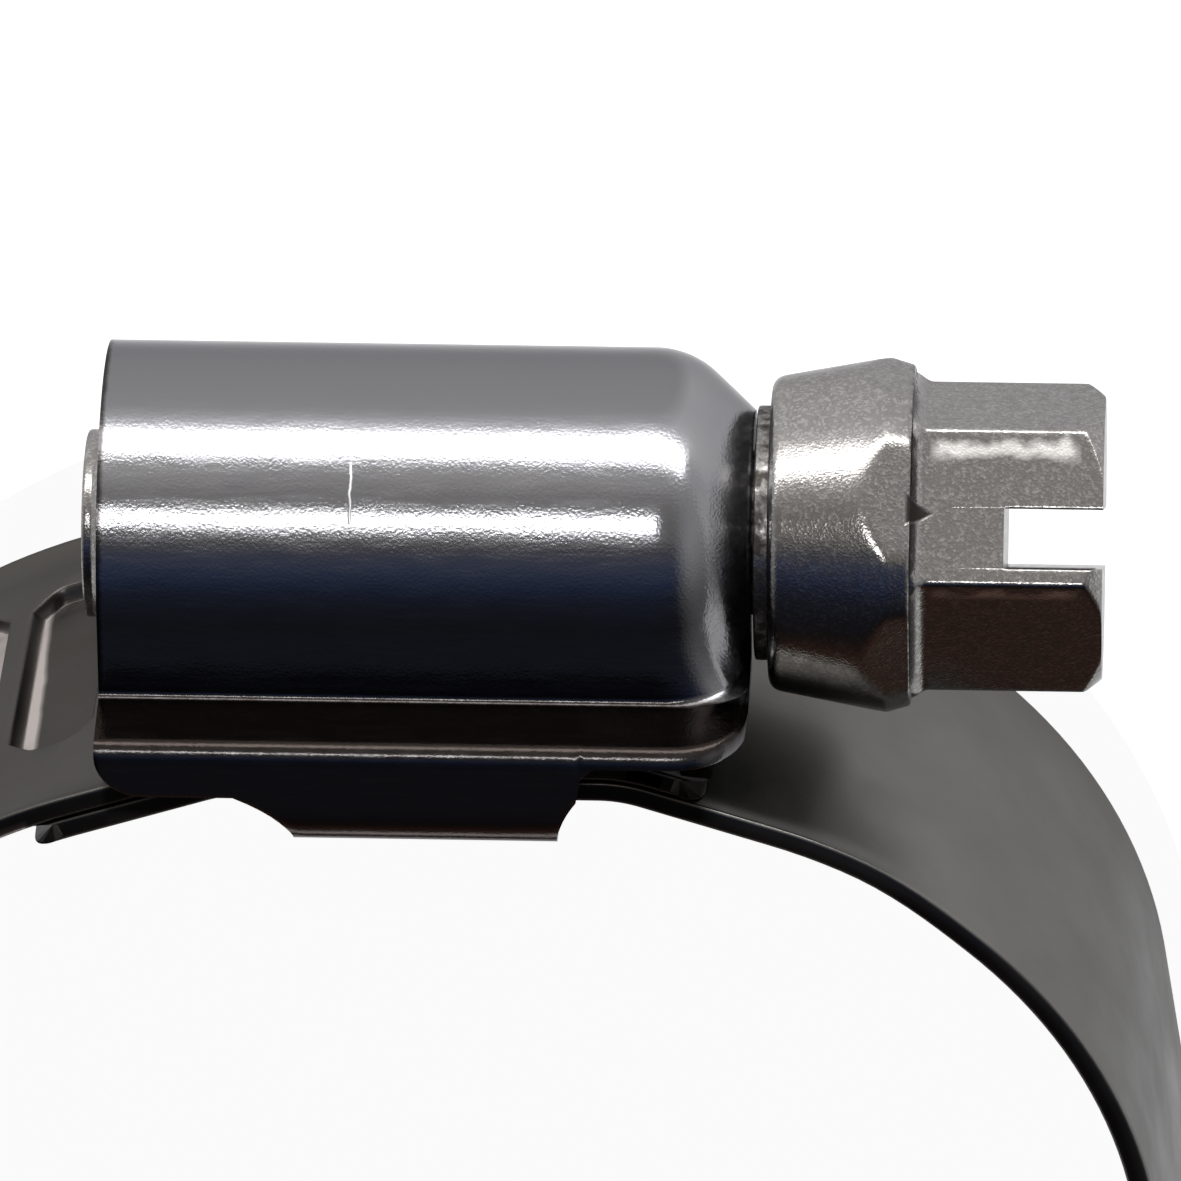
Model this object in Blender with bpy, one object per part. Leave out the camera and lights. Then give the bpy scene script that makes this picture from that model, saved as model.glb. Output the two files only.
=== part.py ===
"""Worm drive hose clamp with a 12 mm strip and a 7 mm hexagon head.

The clamp lies on its side. +X runs along the screw towards its head, +Y
points out of the ring through the housing, and +Z is the axis of the ring.
In the design frame used below, the screw's axis is at y = 0 and z = 0, and
x = 0 is near the middle of the housing. An empty carries the three pieces to
the row's origin, at the middle of the box that the clamp fills, on the
surface that it lies on. All lengths are in metres.
"""

import math

import bmesh
import bpy
from mathutils import Vector

# Strip, rolled from one length of sheet
STRIP_WIDTH = 0.0120
STRIP_THICKNESS = 0.0006
EDGE_LIFT = 0.0002
EDGE_WIDTH = 0.0010
END_CORNER_RADIUS = 0.0010
TONGUE_REACH = 0.0103
TAIL_REACH = 0.0072

# Ring, as the inner face of the strip
RING_RADIUS = 0.0192
SADDLE_MIDDLE = 0.00056
SADDLE_HALF_LENGTH = 0.00445
SADDLE_BEND_RADIUS = 0.0030
SADDLE_ANGLE = math.radians(19.0)
SHOULDER_RADIUS = 0.0142
FLANK_ANGLE = math.radians(82.0)
FLANK_LENGTH = 0.0060
EDGE_FADE_START = 0.0110
EDGE_FADE_END = 0.0150

# Thread pressed into the strip, and the worm that drives it
PITCH = 0.0028
MESH_POSITION = -0.0005
THREAD_POCKETS = 16
POCKET_LENGTH = 0.0023
POCKET_DEPTH = 0.00042
POCKET_WALL = 0.00028
POCKET_NEAR_MARGIN = 0.0029
POCKET_FAR_MARGIN = 0.00185
POCKET_CORNER = 0.0007
POCKET_SLANT = math.radians(2.0)
WORM_RADIUS = 0.00355
WORM_ROOT_RADIUS = 0.00295
WORM_CREST = 0.0006
WORM_BASE = 0.0012
WORM_START = -0.0074
WORM_END = 0.0068
WORM_RUNOUT = 0.0012
WORM_ENGAGEMENT = 0.00035

# Screw, turned and headed in one piece
TIP_END = -0.00825
TIP_RADIUS = 0.0024
TIP_CHAMFER = 0.00035
THRUST_RADIUS = 0.0026
NECK_RADIUS = 0.0021
SHOULDER_RING_RADIUS = 0.00325
SHOULDER_RING_WIDTH = 0.00036
COLLAR_FRONT_RADIUS = 0.00402
COLLAR_REAR_RADIUS = 0.00454
COLLAR_LENGTH = 0.00362
COLLAR_CORNER = 0.00035
COLLAR_LAND = 0.0006
COLLAR_REAR_DROP = 0.00018
HEX_ACROSS_FLATS = 0.0070
HEX_LENGTH = 0.00488
HEX_BLANK_STEP = 0.0007
HEX_BLANK_RADIUS = HEX_ACROSS_FLATS / 2 + HEX_BLANK_STEP
FACET_STEP = 0.0006
FACET_DISTANCE = HEX_ACROSS_FLATS / 2 + FACET_STEP
FACET_ANGLE = math.radians(15.5)
FACET_SHARE = 0.8
HEX_FILLET = 0.0005
HEX_CHAMFER = 0.00045
HEX_TURN = math.radians(46.6)
SLOT_WIDTH = 0.00152
SLOT_DEPTH = 0.0025
SLOT_TURN = math.radians(33.6)

# Housing, pressed and folded from one sheet
WALL = 0.0008
TUNNEL_RADIUS = 0.0047
FLANK_SPREAD = 0.00015
FLANK_DEPTH = 0.0015
CREASE_RADIUS = 0.0004
CREASE_FULLNESS = 0.3
FLANGE_DROP = 0.0009
BEND_RADIUS = 0.0010
HOUSING_REAR = -0.0077
HOUSING_FRONT = 0.00881
DOME_RADIUS = 0.0023
DOME_ANGLE = math.radians(43.0)
DOME_RIM_RADIUS = 0.00314
FLANGE_CORNER_RADIUS = 0.0019
SKIRT_DEPTH_REAR = 0.0036
SKIRT_DEPTH_FRONT = 0.00255
SKIRT_FRONT_STEP = 0.35
REAR_CORNER_RADIUS = 0.0012
LUG_REAR = -0.0027
LUG_FRONT = 0.0040
LUG_REAR_FLARE = 0.0015
LUG_FRONT_FLARE = 0.0005
LUG_TAPER = 1.6
LUG_EDGE = 0.0022

# Clearances between the pieces
LAYER_GAP = 0.00004
LUG_GAP = 0.00003
SIDE_GAP = 0.0002
NECK_GAP = 0.00025
THRUST_GAP = 0.00006

# Facets
TURN_SEGMENTS = 48
ARCH_SEGMENTS = 12
BEND_SEGMENTS = 5
DOME_SEGMENTS = 5
RING_STEP = 0.0021

# The housing is as wide as the strip that it takes, and its two sides
HOUSING_HALF_WIDTH = STRIP_WIDTH / 2 + SIDE_GAP + WALL

# Heights that follow from the stack under the worm
STRIP_TOP = -(WORM_RADIUS - WORM_ENGAGEMENT)
LAP_OFFSET = STRIP_THICKNESS + LAYER_GAP
SADDLE_HEIGHT = STRIP_TOP - STRIP_THICKNESS - LAP_OFFSET
LUG_SEAT = SADDLE_HEIGHT - LUG_GAP
LUG_BEND_CENTRE = LUG_SEAT - WALL + BEND_RADIUS

# Where the thread starts, measured along the strip from the saddle's middle
FIRST_THREAD = MESH_POSITION - SADDLE_MIDDLE

# Colours as linear values
POLISHED_STEEL = (0.52, 0.52, 0.54, 1.0)
STRIP_STEEL = (0.36, 0.36, 0.35, 1.0)
PLATED_STEEL = (0.56, 0.55, 0.54, 1.0)


def smooth(value):
    """Ease from 0 to 1 as value goes from 0 to 1."""
    value = min(max(value, 0.0), 1.0)
    return value * value * (3.0 - 2.0 * value)


def steel(name, colour, roughness):
    """Return a metallic material."""
    material = bpy.data.materials.new(name)
    material.use_nodes = True
    shader = material.node_tree.nodes["Principled BSDF"]
    shader.inputs["Base Color"].default_value = colour
    shader.inputs["Metallic"].default_value = 1.0
    shader.inputs["Roughness"].default_value = roughness
    return material


def add_object(name, mesh_data, material, parent):
    """Link a smooth-shaded object that uses the mesh and the material."""
    mesh_data.materials.append(material)
    piece = bpy.data.objects.new(name, mesh_data)
    bpy.context.scene.collection.objects.link(piece)
    piece.parent = parent
    return piece


def smooth_shading(mesh_data):
    """Shade smooth, and keep the edges that are really sharp."""
    mesh_data.shade_smooth()
    mesh_data.set_sharp_from_angle(angle=math.radians(32.0))


def mesh_from_bmesh(name, bm):
    """Turn the bmesh into a mesh whose faces point outwards."""
    bmesh.ops.recalc_face_normals(bm, faces=bm.faces)
    mesh_data = bpy.data.meshes.new(name)
    bm.to_mesh(mesh_data)
    bm.free()
    smooth_shading(mesh_data)
    return mesh_data


def bake_modifiers(piece):
    """Replace the object's mesh by what its modifiers make of it."""
    bpy.context.view_layer.update()
    depsgraph = bpy.context.evaluated_depsgraph_get()
    result = bpy.data.meshes.new_from_object(piece.evaluated_get(depsgraph))
    piece.modifiers.clear()
    piece.data = result
    smooth_shading(result)


def add_grid(bm, rows):
    """Add a quad between each two neighbours in rows of vertices."""
    for lower, upper in zip(rows, rows[1:]):
        for index in range(len(lower) - 1):
            bm.faces.new((lower[index], lower[index + 1], upper[index + 1], upper[index]))


# The ring


def ring_segments():
    """Return the half loop from the saddle's middle to the lowest point.

    Each segment is its length and its curvature. The straight beside the
    saddle is as long as the ring's radius needs.
    """
    bend = SADDLE_BEND_RADIUS * math.sin(SADDLE_ANGLE)
    shoulder = SHOULDER_RADIUS * (math.sin(FLANK_ANGLE) - math.sin(SADDLE_ANGLE))
    flank = FLANK_LENGTH * math.cos(FLANK_ANGLE)
    straight = RING_RADIUS * math.sin(FLANK_ANGLE) - SADDLE_HALF_LENGTH - bend - shoulder - flank
    return [
        (SADDLE_HALF_LENGTH, 0.0),
        (SADDLE_BEND_RADIUS * SADDLE_ANGLE, 1.0 / SADDLE_BEND_RADIUS),
        (straight / math.cos(SADDLE_ANGLE), 0.0),
        (SHOULDER_RADIUS * (FLANK_ANGLE - SADDLE_ANGLE), 1.0 / SHOULDER_RADIUS),
        (FLANK_LENGTH, 0.0),
        (RING_RADIUS * (math.pi - FLANK_ANGLE), 1.0 / RING_RADIUS),
    ]


RING_SEGMENTS = ring_segments()
HALF_LOOP = sum(length for length, curvature in RING_SEGMENTS)
SIDE_LENGTH = HALF_LOOP - RING_SEGMENTS[-1][0]


def half_loop_point(distance):
    """Return the place and the falling angle at a distance from the saddle's middle."""
    x, y, angle = 0.0, SADDLE_HEIGHT, 0.0
    for length, curvature in RING_SEGMENTS:
        step = min(distance, length)
        turned = angle + step * curvature
        if curvature:
            x += (math.sin(turned) - math.sin(angle)) / curvature
            y -= (math.cos(angle) - math.cos(turned)) / curvature
        else:
            x += step * math.cos(angle)
            y -= step * math.sin(angle)
        angle = turned
        distance -= step
        if distance <= 0.0:
            break
    return x, y, angle


def loop_point(distance):
    """Return the place on the loop and the outward direction there.

    The distance runs clockwise, seen against +Z, and may exceed one lap.
    """
    lap = (distance + HALF_LOOP) % (2.0 * HALF_LOOP) - HALF_LOOP
    x, y, angle = half_loop_point(abs(lap))
    side = 1.0 if lap >= 0.0 else -1.0
    place = Vector((SADDLE_MIDDLE + side * x, y, 0.0))
    return place, Vector((side * math.sin(angle), math.cos(angle), 0.0))


def strip_point(distance, across, height):
    """Return the point at a height above the strip's inner face."""
    lap_end = 2.0 * HALF_LOOP - TONGUE_REACH - STRIP_THICKNESS
    lap_start = 2.0 * HALF_LOOP - SIDE_LENGTH
    rise = LAP_OFFSET * smooth((distance - lap_start) / (lap_end - lap_start))
    past_edge = abs(across) - (STRIP_WIDTH / 2 - EDGE_WIDTH)
    lift = EDGE_LIFT * (max(past_edge, 0.0) / EDGE_WIDTH) ** 2
    if distance < HALF_LOOP:
        fade = EDGE_FADE_END - EDGE_FADE_START
        lift *= 1.0 - smooth((distance - EDGE_FADE_START) / fade)
    else:
        lift *= smooth((distance - HALF_LOOP) / (SIDE_LENGTH / 2))
    place, outward = loop_point(distance)
    return place + outward * (rise + lift + height) + Vector((0.0, 0.0, across))


# The strip


def strip_rows():
    """Return the places across the strip where its mesh has a row."""
    edge = STRIP_WIDTH / 2
    near = edge - POCKET_NEAR_MARGIN
    far = -edge + POCKET_FAR_MARGIN
    lips = [edge, edge - 0.2 * EDGE_WIDTH, edge - 0.55 * EDGE_WIDTH, edge - EDGE_WIDTH]
    pocket = [near, near - POCKET_WALL, near - POCKET_CORNER, 0.0]
    pocket += [far + POCKET_CORNER, far + POCKET_WALL, far]
    return lips + pocket + [-place for place in reversed(lips)]


def corner_cut(across):
    """Return how far a pocket's end is drawn in at its cut corners."""
    near = STRIP_WIDTH / 2 - POCKET_NEAR_MARGIN
    far = -STRIP_WIDTH / 2 + POCKET_FAR_MARGIN
    to_side = min(near - across, across - far)
    return max(POCKET_CORNER - max(to_side, 0.0), 0.0)


def in_pocket_floor(across):
    """Tell whether a row runs along the floor of the pockets."""
    near = STRIP_WIDTH / 2 - POCKET_NEAR_MARGIN - POCKET_WALL
    far = -STRIP_WIDTH / 2 + POCKET_FAR_MARGIN + POCKET_WALL
    tolerance = POCKET_WALL / 10
    return far - tolerance <= across <= near + tolerance


def strip_stations():
    """Return each station as its distance, its shift at a cut corner and its depth."""
    lap = 2.0 * HALF_LOOP
    start = -TONGUE_REACH
    end = lap + TAIL_REACH
    threaded = TAIL_REACH - END_CORNER_RADIUS - POCKET_LENGTH / 2 - FIRST_THREAD
    last_pocket = math.floor(threaded / PITCH)
    middles = [lap + FIRST_THREAD + PITCH * (last_pocket - turn) for turn in range(THREAD_POCKETS)]
    middles.reverse()
    stations = []
    plain_end = middles[0] - PITCH / 2
    bends = [-SADDLE_HALF_LENGTH, SADDLE_HALF_LENGTH]
    bend_length = SADDLE_BEND_RADIUS * SADDLE_ANGLE
    bends += [-SADDLE_HALF_LENGTH - bend_length / 2, -SADDLE_HALF_LENGTH - bend_length]
    bends += [SADDLE_HALF_LENGTH + bend_length / 2, SADDLE_HALF_LENGTH + bend_length]
    plain_start = start + 2.0 * END_CORNER_RADIUS
    count = math.ceil((plain_end - plain_start) / RING_STEP)
    plain = [plain_start + (plain_end - plain_start) * step / count for step in range(count)]
    plain = [place for place in plain if all(abs(place - bend) > RING_STEP / 5 for bend in bends)]
    for place in sorted([start, start + END_CORNER_RADIUS] + plain + bends):
        stations.append((place, 0.0, 0.0))
    half = POCKET_LENGTH / 2
    for middle in middles:
        stations.append((middle - half, 1.0, 0.0))
        stations.append((middle - half + POCKET_WALL, 1.0, POCKET_DEPTH))
        stations.append((middle + half - POCKET_WALL, -1.0, POCKET_DEPTH))
        stations.append((middle + half, -1.0, 0.0))
    tail_start = middles[-1] + PITCH / 2
    for step in range(3):
        stations.append((tail_start + (end - tail_start) * step / 2, 0.0, 0.0))
    return stations


def end_inset(across):
    """Return how far the rounded corners draw in the strip's end."""
    past = abs(across) - (STRIP_WIDTH / 2 - END_CORNER_RADIUS)
    past = min(max(past, 0.0), END_CORNER_RADIUS)
    return END_CORNER_RADIUS - math.sqrt(END_CORNER_RADIUS ** 2 - past ** 2)


def strip_distance(place, corner, across):
    """Return a row's distance at a station, with slant, corners and round ends."""
    lap = 2.0 * HALF_LOOP
    slanted = place > lap - SIDE_LENGTH - HALF_LOOP / 2 and place < lap + TAIL_REACH - RING_STEP / 4
    distance = place + corner * corner_cut(across)
    if slanted:
        distance -= math.tan(POCKET_SLANT) * across
    inset = end_inset(across)
    from_start = 1.0 - smooth((place + TONGUE_REACH) / (2.0 * END_CORNER_RADIUS))
    from_end = 1.0 - smooth((lap + TAIL_REACH - place) / (2.0 * END_CORNER_RADIUS))
    return distance + inset * from_start - inset * from_end


def build_band(material, parent):
    """Make the strip: tongue, saddle, ring, threaded lap and hidden tail."""
    bm = bmesh.new()
    rows = strip_rows()
    inner_rows = [place for place in rows if abs(place) > STRIP_WIDTH / 2 - 1.01 * EDGE_WIDTH]
    outer, inner = [], []
    for place, corner, depth in strip_stations():
        line = []
        for across in rows:
            sunk = depth if in_pocket_floor(across) else 0.0
            distance = strip_distance(place, corner, across)
            line.append(bm.verts.new(strip_point(distance, across, STRIP_THICKNESS - sunk)))
        outer.append(line)
        line = []
        for across in inner_rows:
            distance = strip_distance(place, corner, across)
            line.append(bm.verts.new(strip_point(distance, across, 0.0)))
        inner.append(line)
    add_grid(bm, outer)
    add_grid(bm, inner)
    for side in (0, -1):
        add_grid(bm, [[line[side] for line in outer], [line[side] for line in inner]])
    for end in (0, -1):
        bm.faces.new(outer[end] + list(reversed(inner[end])))
    return add_object("band", mesh_from_bmesh("band", bm), material, parent)


# The housing


def arch_profile():
    """Return the half section from the crown down to the flange's bend."""
    points = []
    for step in range(ARCH_SEGMENTS + 1):
        angle = math.pi / 2 * (1.0 - step / ARCH_SEGMENTS)
        points.append((TUNNEL_RADIUS * math.cos(angle), TUNNEL_RADIUS * math.sin(angle)))
    crease = Vector((TUNNEL_RADIUS + FLANK_SPREAD, -FLANK_DEPTH))
    flank_way = (crease - Vector((TUNNEL_RADIUS, 0.0))).normalized()
    slope = flange_slope()
    flange_way = Vector((math.cos(slope), -math.sin(slope)))
    turn = flank_way.angle(flange_way)
    reach = CREASE_RADIUS * math.tan(turn / 2)
    points.append(tuple((crease + Vector((TUNNEL_RADIUS, 0.0))) / 2))
    points.append(tuple(crease - flank_way * reach))
    points.append(tuple(crease + (flange_way - flank_way) * reach * CREASE_FULLNESS))
    points.append(tuple(crease + flange_way * reach))
    return points


def flange_slope():
    """Return the angle at which the flange falls outwards."""
    return math.atan2(FLANGE_DROP, HOUSING_HALF_WIDTH - TUNNEL_RADIUS - FLANK_SPREAD)


def flange_bend():
    """Return the centre of the flange's bend and the angle at which it starts."""
    start = math.pi / 2 - flange_slope()
    tangent = BEND_RADIUS * math.tan(start / 2)
    height = -(FLANK_DEPTH + FLANGE_DROP) - tangent
    return HOUSING_HALF_WIDTH - BEND_RADIUS, height, start


def side_path(distance):
    """Return the point at a distance down the side, past the flange's bend start.

    The side bends down, drops, bends under the strip and runs inwards.
    """
    middle, height, start = flange_bend()
    first = BEND_RADIUS * start
    if distance <= first:
        angle = start - distance / BEND_RADIUS
        return middle + BEND_RADIUS * math.cos(angle), height + BEND_RADIUS * math.sin(angle)
    distance -= first
    drop = height - LUG_BEND_CENTRE
    if distance <= drop:
        return HOUSING_HALF_WIDTH, height - distance
    distance -= drop
    if distance <= BEND_RADIUS * math.pi / 2:
        angle = distance / BEND_RADIUS
        return middle + BEND_RADIUS * math.cos(angle), LUG_BEND_CENTRE - BEND_RADIUS * math.sin(angle)
    distance -= BEND_RADIUS * math.pi / 2
    return middle - distance, LUG_BEND_CENTRE - BEND_RADIUS


def side_distance(depth):
    """Return the distance down the side at which it is this deep."""
    middle, height, start = flange_bend()
    if -depth > height:
        return BEND_RADIUS * (start - math.asin(min((-depth - height) / BEND_RADIUS, 1.0)))
    return BEND_RADIUS * start + height + depth


def skirt_depth(x):
    """Return how deep the side's lower edge is at a place along the screw."""
    if x < LUG_REAR:
        from_end = max(REAR_CORNER_RADIUS - (x - HOUSING_REAR), 0.0)
        rise = REAR_CORNER_RADIUS - math.sqrt(REAR_CORNER_RADIUS ** 2 - from_end ** 2)
        return SKIRT_DEPTH_REAR - rise
    if x <= LUG_FRONT + LUG_FRONT_FLARE:
        return SKIRT_DEPTH_REAR
    past = (x - LUG_FRONT - LUG_FRONT_FLARE) / LUG_FRONT_FLARE
    return SKIRT_DEPTH_FRONT + (SKIRT_DEPTH_REAR - SKIRT_DEPTH_FRONT) * (1.0 - smooth(past)) * SKIRT_FRONT_STEP


def dome_outline():
    """Return the places and radii where the tunnel rounds into the front wall."""
    rounding = DOME_RADIUS * math.tan(DOME_ANGLE / 2)
    cone = (TUNNEL_RADIUS - DOME_RIM_RADIUS) / math.tan(DOME_ANGLE)
    start = HOUSING_FRONT - cone - rounding
    outline = []
    for step in range(DOME_SEGMENTS + 1):
        angle = DOME_ANGLE * step / DOME_SEGMENTS
        x = start + DOME_RADIUS * math.sin(angle)
        outline.append((x, TUNNEL_RADIUS - DOME_RADIUS * (1.0 - math.cos(angle))))
    middle_x = (outline[-1][0] + HOUSING_FRONT) / 2
    middle_radius = (outline[-1][1] + DOME_RIM_RADIUS) / 2
    slot = NECK_RADIUS + NECK_GAP
    outline += [(middle_x, middle_radius), (HOUSING_FRONT, DOME_RIM_RADIUS), (HOUSING_FRONT, slot)]
    return outline


def flange_outline():
    """Return the places where the flange's plan rounds into the front wall."""
    outline = []
    start = HOUSING_FRONT - FLANGE_CORNER_RADIUS
    for step in range(DOME_SEGMENTS + 1):
        angle = math.pi / 2 * step / DOME_SEGMENTS
        x = start + FLANGE_CORNER_RADIUS * math.sin(angle)
        across = HOUSING_HALF_WIDTH - FLANGE_CORNER_RADIUS * (1.0 - math.cos(angle))
        outline.append((x, across))
    slot = NECK_RADIUS + NECK_GAP
    corner = outline[-1][1]
    outline += [(HOUSING_FRONT, corner + (slot - corner) * share) for share in (0.3, 0.6, 1.0)]
    return outline


def housing_columns():
    """Return the places along the straight part of the housing, rear to dome."""
    rear_corner = [HOUSING_REAR + REAR_CORNER_RADIUS * (1.0 - math.cos(math.pi / 6 * step)) for step in range(4)]
    lug_start = LUG_REAR - LUG_REAR_FLARE
    lug_end = LUG_FRONT + LUG_FRONT_FLARE
    lug = [lug_start + (lug_end - lug_start) * step / 6 for step in range(7)]
    front = [lug_end + LUG_FRONT_FLARE * share for share in (0.5, 1.0)]
    between = [(rear_corner[-1] + lug_start) / 2]
    return rear_corner + between + lug + front


def slot_point(across, height):
    """Return where a point of the section ends, on the neck's open slot."""
    slot = NECK_RADIUS + NECK_GAP
    if height >= 0.0:
        return Vector((across, height)).normalized() * slot
    return Vector((slot, height))


def build_housing(material, parent):
    """Press the housing: tunnel, flanges, domed front with its slot, and lugs."""
    bm = bmesh.new()
    arch = arch_profile()
    columns = housing_columns()
    dome = dome_outline()
    flange = flange_outline()
    slot = NECK_RADIUS + NECK_GAP
    lug_start = LUG_REAR - LUG_REAR_FLARE
    lug_end = LUG_FRONT + LUG_FRONT_FLARE
    lug_rows = BEND_SEGMENTS + 3
    flank_end = arch[-1][0]

    def side_points(x):
        """Return the rows of the side at a column, down to its trimmed edge."""
        end = side_distance(skirt_depth(x))
        return [side_path(end * step / BEND_SEGMENTS) for step in range(BEND_SEGMENTS + 1)]

    def section(x):
        """Return the half section at a column as vectors."""
        return [Vector(point) for point in arch + side_points(x)]

    def line_at(points, places, mirrored):
        """Add one half section's vertices, on either side of the middle."""
        sign = -1.0 if mirrored else 1.0
        return [bm.verts.new((x, point.y, sign * point.x)) for point, x in zip(points, places)]

    lines = []
    for x in columns:
        points = section(x)
        lines.append((points, [x] * len(points)))
    front_section = section(HOUSING_FRONT)
    for (dome_x, radius), (flange_x, across) in zip(dome, flange):
        kept_dome = (radius - slot) / (TUNNEL_RADIUS - slot)
        kept_flange = (across - slot) / (HOUSING_HALF_WIDTH - slot)
        points, places = [], []
        for point in front_section:
            goal = slot_point(point.x, point.y)
            share = smooth((point.x - TUNNEL_RADIUS) / (flank_end - TUNNEL_RADIUS))
            share = share if point.y < 0.0 else 0.0
            kept = kept_dome + (kept_flange - kept_dome) * share
            points.append(goal + (point - goal) * kept)
            places.append(dome_x + (flange_x - dome_x) * share)
        lines.append((points, places))

    middle = [bm.verts.new((places[0], points[0].y, 0.0)) for points, places in lines]
    for mirrored in (False, True):
        rows = []
        for crown, (points, places) in zip(middle, lines):
            rows.append([crown] + line_at(points[1:], places[1:], mirrored))
        add_grid(bm, rows)
        lug_lines = []
        first = side_distance(SKIRT_DEPTH_REAR)
        bend_end = BEND_RADIUS * flange_bend()[2] + flange_bend()[1] - LUG_BEND_CENTRE
        bend_end += BEND_RADIUS * math.pi / 2
        last = bend_end + HOUSING_HALF_WIDTH - BEND_RADIUS - LUG_EDGE
        stops = [first + (bend_end - first) * step / BEND_SEGMENTS for step in range(1, BEND_SEGMENTS + 1)]
        stops += [last - LUG_REAR_FLARE / 3, last]
        for x, row in zip(columns, rows):
            if not lug_start - 1e-9 <= x <= lug_end + 1e-9:
                continue
            share = (x - lug_start) / (lug_end - lug_start)
            line = [row[-1]]
            for stop in stops:
                narrowed = 1.0 - (1.0 - min((stop - first) / (bend_end - first) * LUG_TAPER, 1.0)) ** 2
                left = lug_start + LUG_REAR_FLARE * narrowed
                right = lug_end - LUG_FRONT_FLARE * narrowed
                if stop == last:
                    left += LUG_FRONT_FLARE
                    right -= LUG_FRONT_FLARE
                across, height = side_path(stop)
                sign = -1.0 if mirrored else 1.0
                line.append(bm.verts.new((left + (right - left) * share, height, sign * across)))
            lug_lines.append(line)
        add_grid(bm, lug_lines)

    housing = add_object("housing", mesh_from_bmesh("housing", bm), material, parent)
    thickness = housing.modifiers.new("Sheet", "SOLIDIFY")
    thickness.thickness = WALL
    thickness.offset = -1.0
    thickness.use_even_offset = True
    bake_modifiers(housing)
    return housing


# The screw


def blank_profile():
    """Return the turned outline ahead of the worm and behind it, as places and radii."""
    before = [
        (TIP_END, TIP_RADIUS - TIP_CHAMFER),
        (TIP_END + TIP_CHAMFER * 0.3, TIP_RADIUS - TIP_CHAMFER * 0.3),
        (TIP_END + TIP_CHAMFER, TIP_RADIUS),
        (WORM_START - (WORM_ROOT_RADIUS - TIP_RADIUS), TIP_RADIUS),
    ]
    wall_inside = HOUSING_FRONT - WALL
    ring_start = HOUSING_FRONT + THRUST_GAP
    collar_start = ring_start + SHOULDER_RING_WIDTH
    collar_end = collar_start + COLLAR_LENGTH
    land = collar_end - COLLAR_LAND
    head_end = collar_end + HEX_LENGTH
    hex_corner = HEX_ACROSS_FLATS / math.sqrt(3.0)
    after = [
        (WORM_END + WORM_ROOT_RADIUS - THRUST_RADIUS, THRUST_RADIUS),
        (wall_inside - THRUST_GAP, THRUST_RADIUS),
        (wall_inside - THRUST_GAP, NECK_RADIUS),
        (ring_start, NECK_RADIUS),
        (ring_start, SHOULDER_RING_RADIUS),
        (collar_start, SHOULDER_RING_RADIUS),
        (collar_start, COLLAR_FRONT_RADIUS - COLLAR_CORNER),
        (collar_start + COLLAR_CORNER * 0.3, COLLAR_FRONT_RADIUS - COLLAR_CORNER * 0.3),
        (collar_start + COLLAR_CORNER, COLLAR_FRONT_RADIUS),
        (land, COLLAR_REAR_RADIUS),
        (collar_end, COLLAR_REAR_RADIUS - COLLAR_REAR_DROP),
        (collar_end, HEX_BLANK_RADIUS),
        (head_end - HEX_CHAMFER - (HEX_BLANK_RADIUS - hex_corner), HEX_BLANK_RADIUS),
        (head_end, hex_corner - HEX_CHAMFER),
    ]
    return before, after


def worm_column(turn):
    """Return the worm's outline at a share of a turn, as places and radii."""
    count = math.ceil((WORM_END - WORM_START) / PITCH) + 3
    height = WORM_RADIUS - WORM_ROOT_RADIUS
    steps = [(-WORM_BASE / 2, 0.0), (-WORM_CREST / 2, height), (WORM_CREST / 2, height), (WORM_BASE / 2, 0.0)]
    below = math.ceil((MESH_POSITION - WORM_START) / PITCH) + 1
    outline = []
    for index in range(count):
        middle = MESH_POSITION + PITCH * (index - below + turn - 0.5)
        for offset, rise in steps:
            x = min(max(middle + offset, WORM_START), WORM_END)
            fade = smooth((x - WORM_START) / WORM_RUNOUT) * smooth((WORM_END - x) / WORM_RUNOUT)
            outline.append((x, WORM_ROOT_RADIUS + rise * fade))
    return outline


def screw_blank():
    """Return the turned screw with its right-hand worm, before the head is formed."""
    bm = bmesh.new()
    before, after = blank_profile()

    def ring(points, turn):
        """Add the vertices of one outline at a share of a turn."""
        angle = 2.0 * math.pi * turn
        return [bm.verts.new((x, r * math.cos(angle), r * math.sin(angle))) for x, r in points]

    front, worm, back = [], [], []
    for step in range(TURN_SEGMENTS):
        turn = step / TURN_SEGMENTS
        front.append(ring(before + [(WORM_START, WORM_ROOT_RADIUS)], turn))
        worm.append(ring(worm_column(turn), turn))
        back.append(ring([(WORM_END, WORM_ROOT_RADIUS)] + after, turn))
    add_grid(bm, front + [front[0]])
    add_grid(bm, back + [back[0]])
    add_grid(bm, worm)
    per_turn = 4
    add_grid(bm, [worm[-1][:-per_turn], worm[0][per_turn:]])
    bm.faces.new([line[0] for line in front])
    bm.faces.new([line[-1] for line in back])
    bmesh.ops.remove_doubles(bm, verts=bm.verts, dist=1e-7)
    bmesh.ops.dissolve_degenerate(bm, edges=bm.edges, dist=1e-8)
    return mesh_from_bmesh("screw", bm)


def facing(angle):
    """Return the direction at an angle from +Z towards +Y."""
    return Vector((0.0, math.sin(angle), math.cos(angle)))


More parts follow.
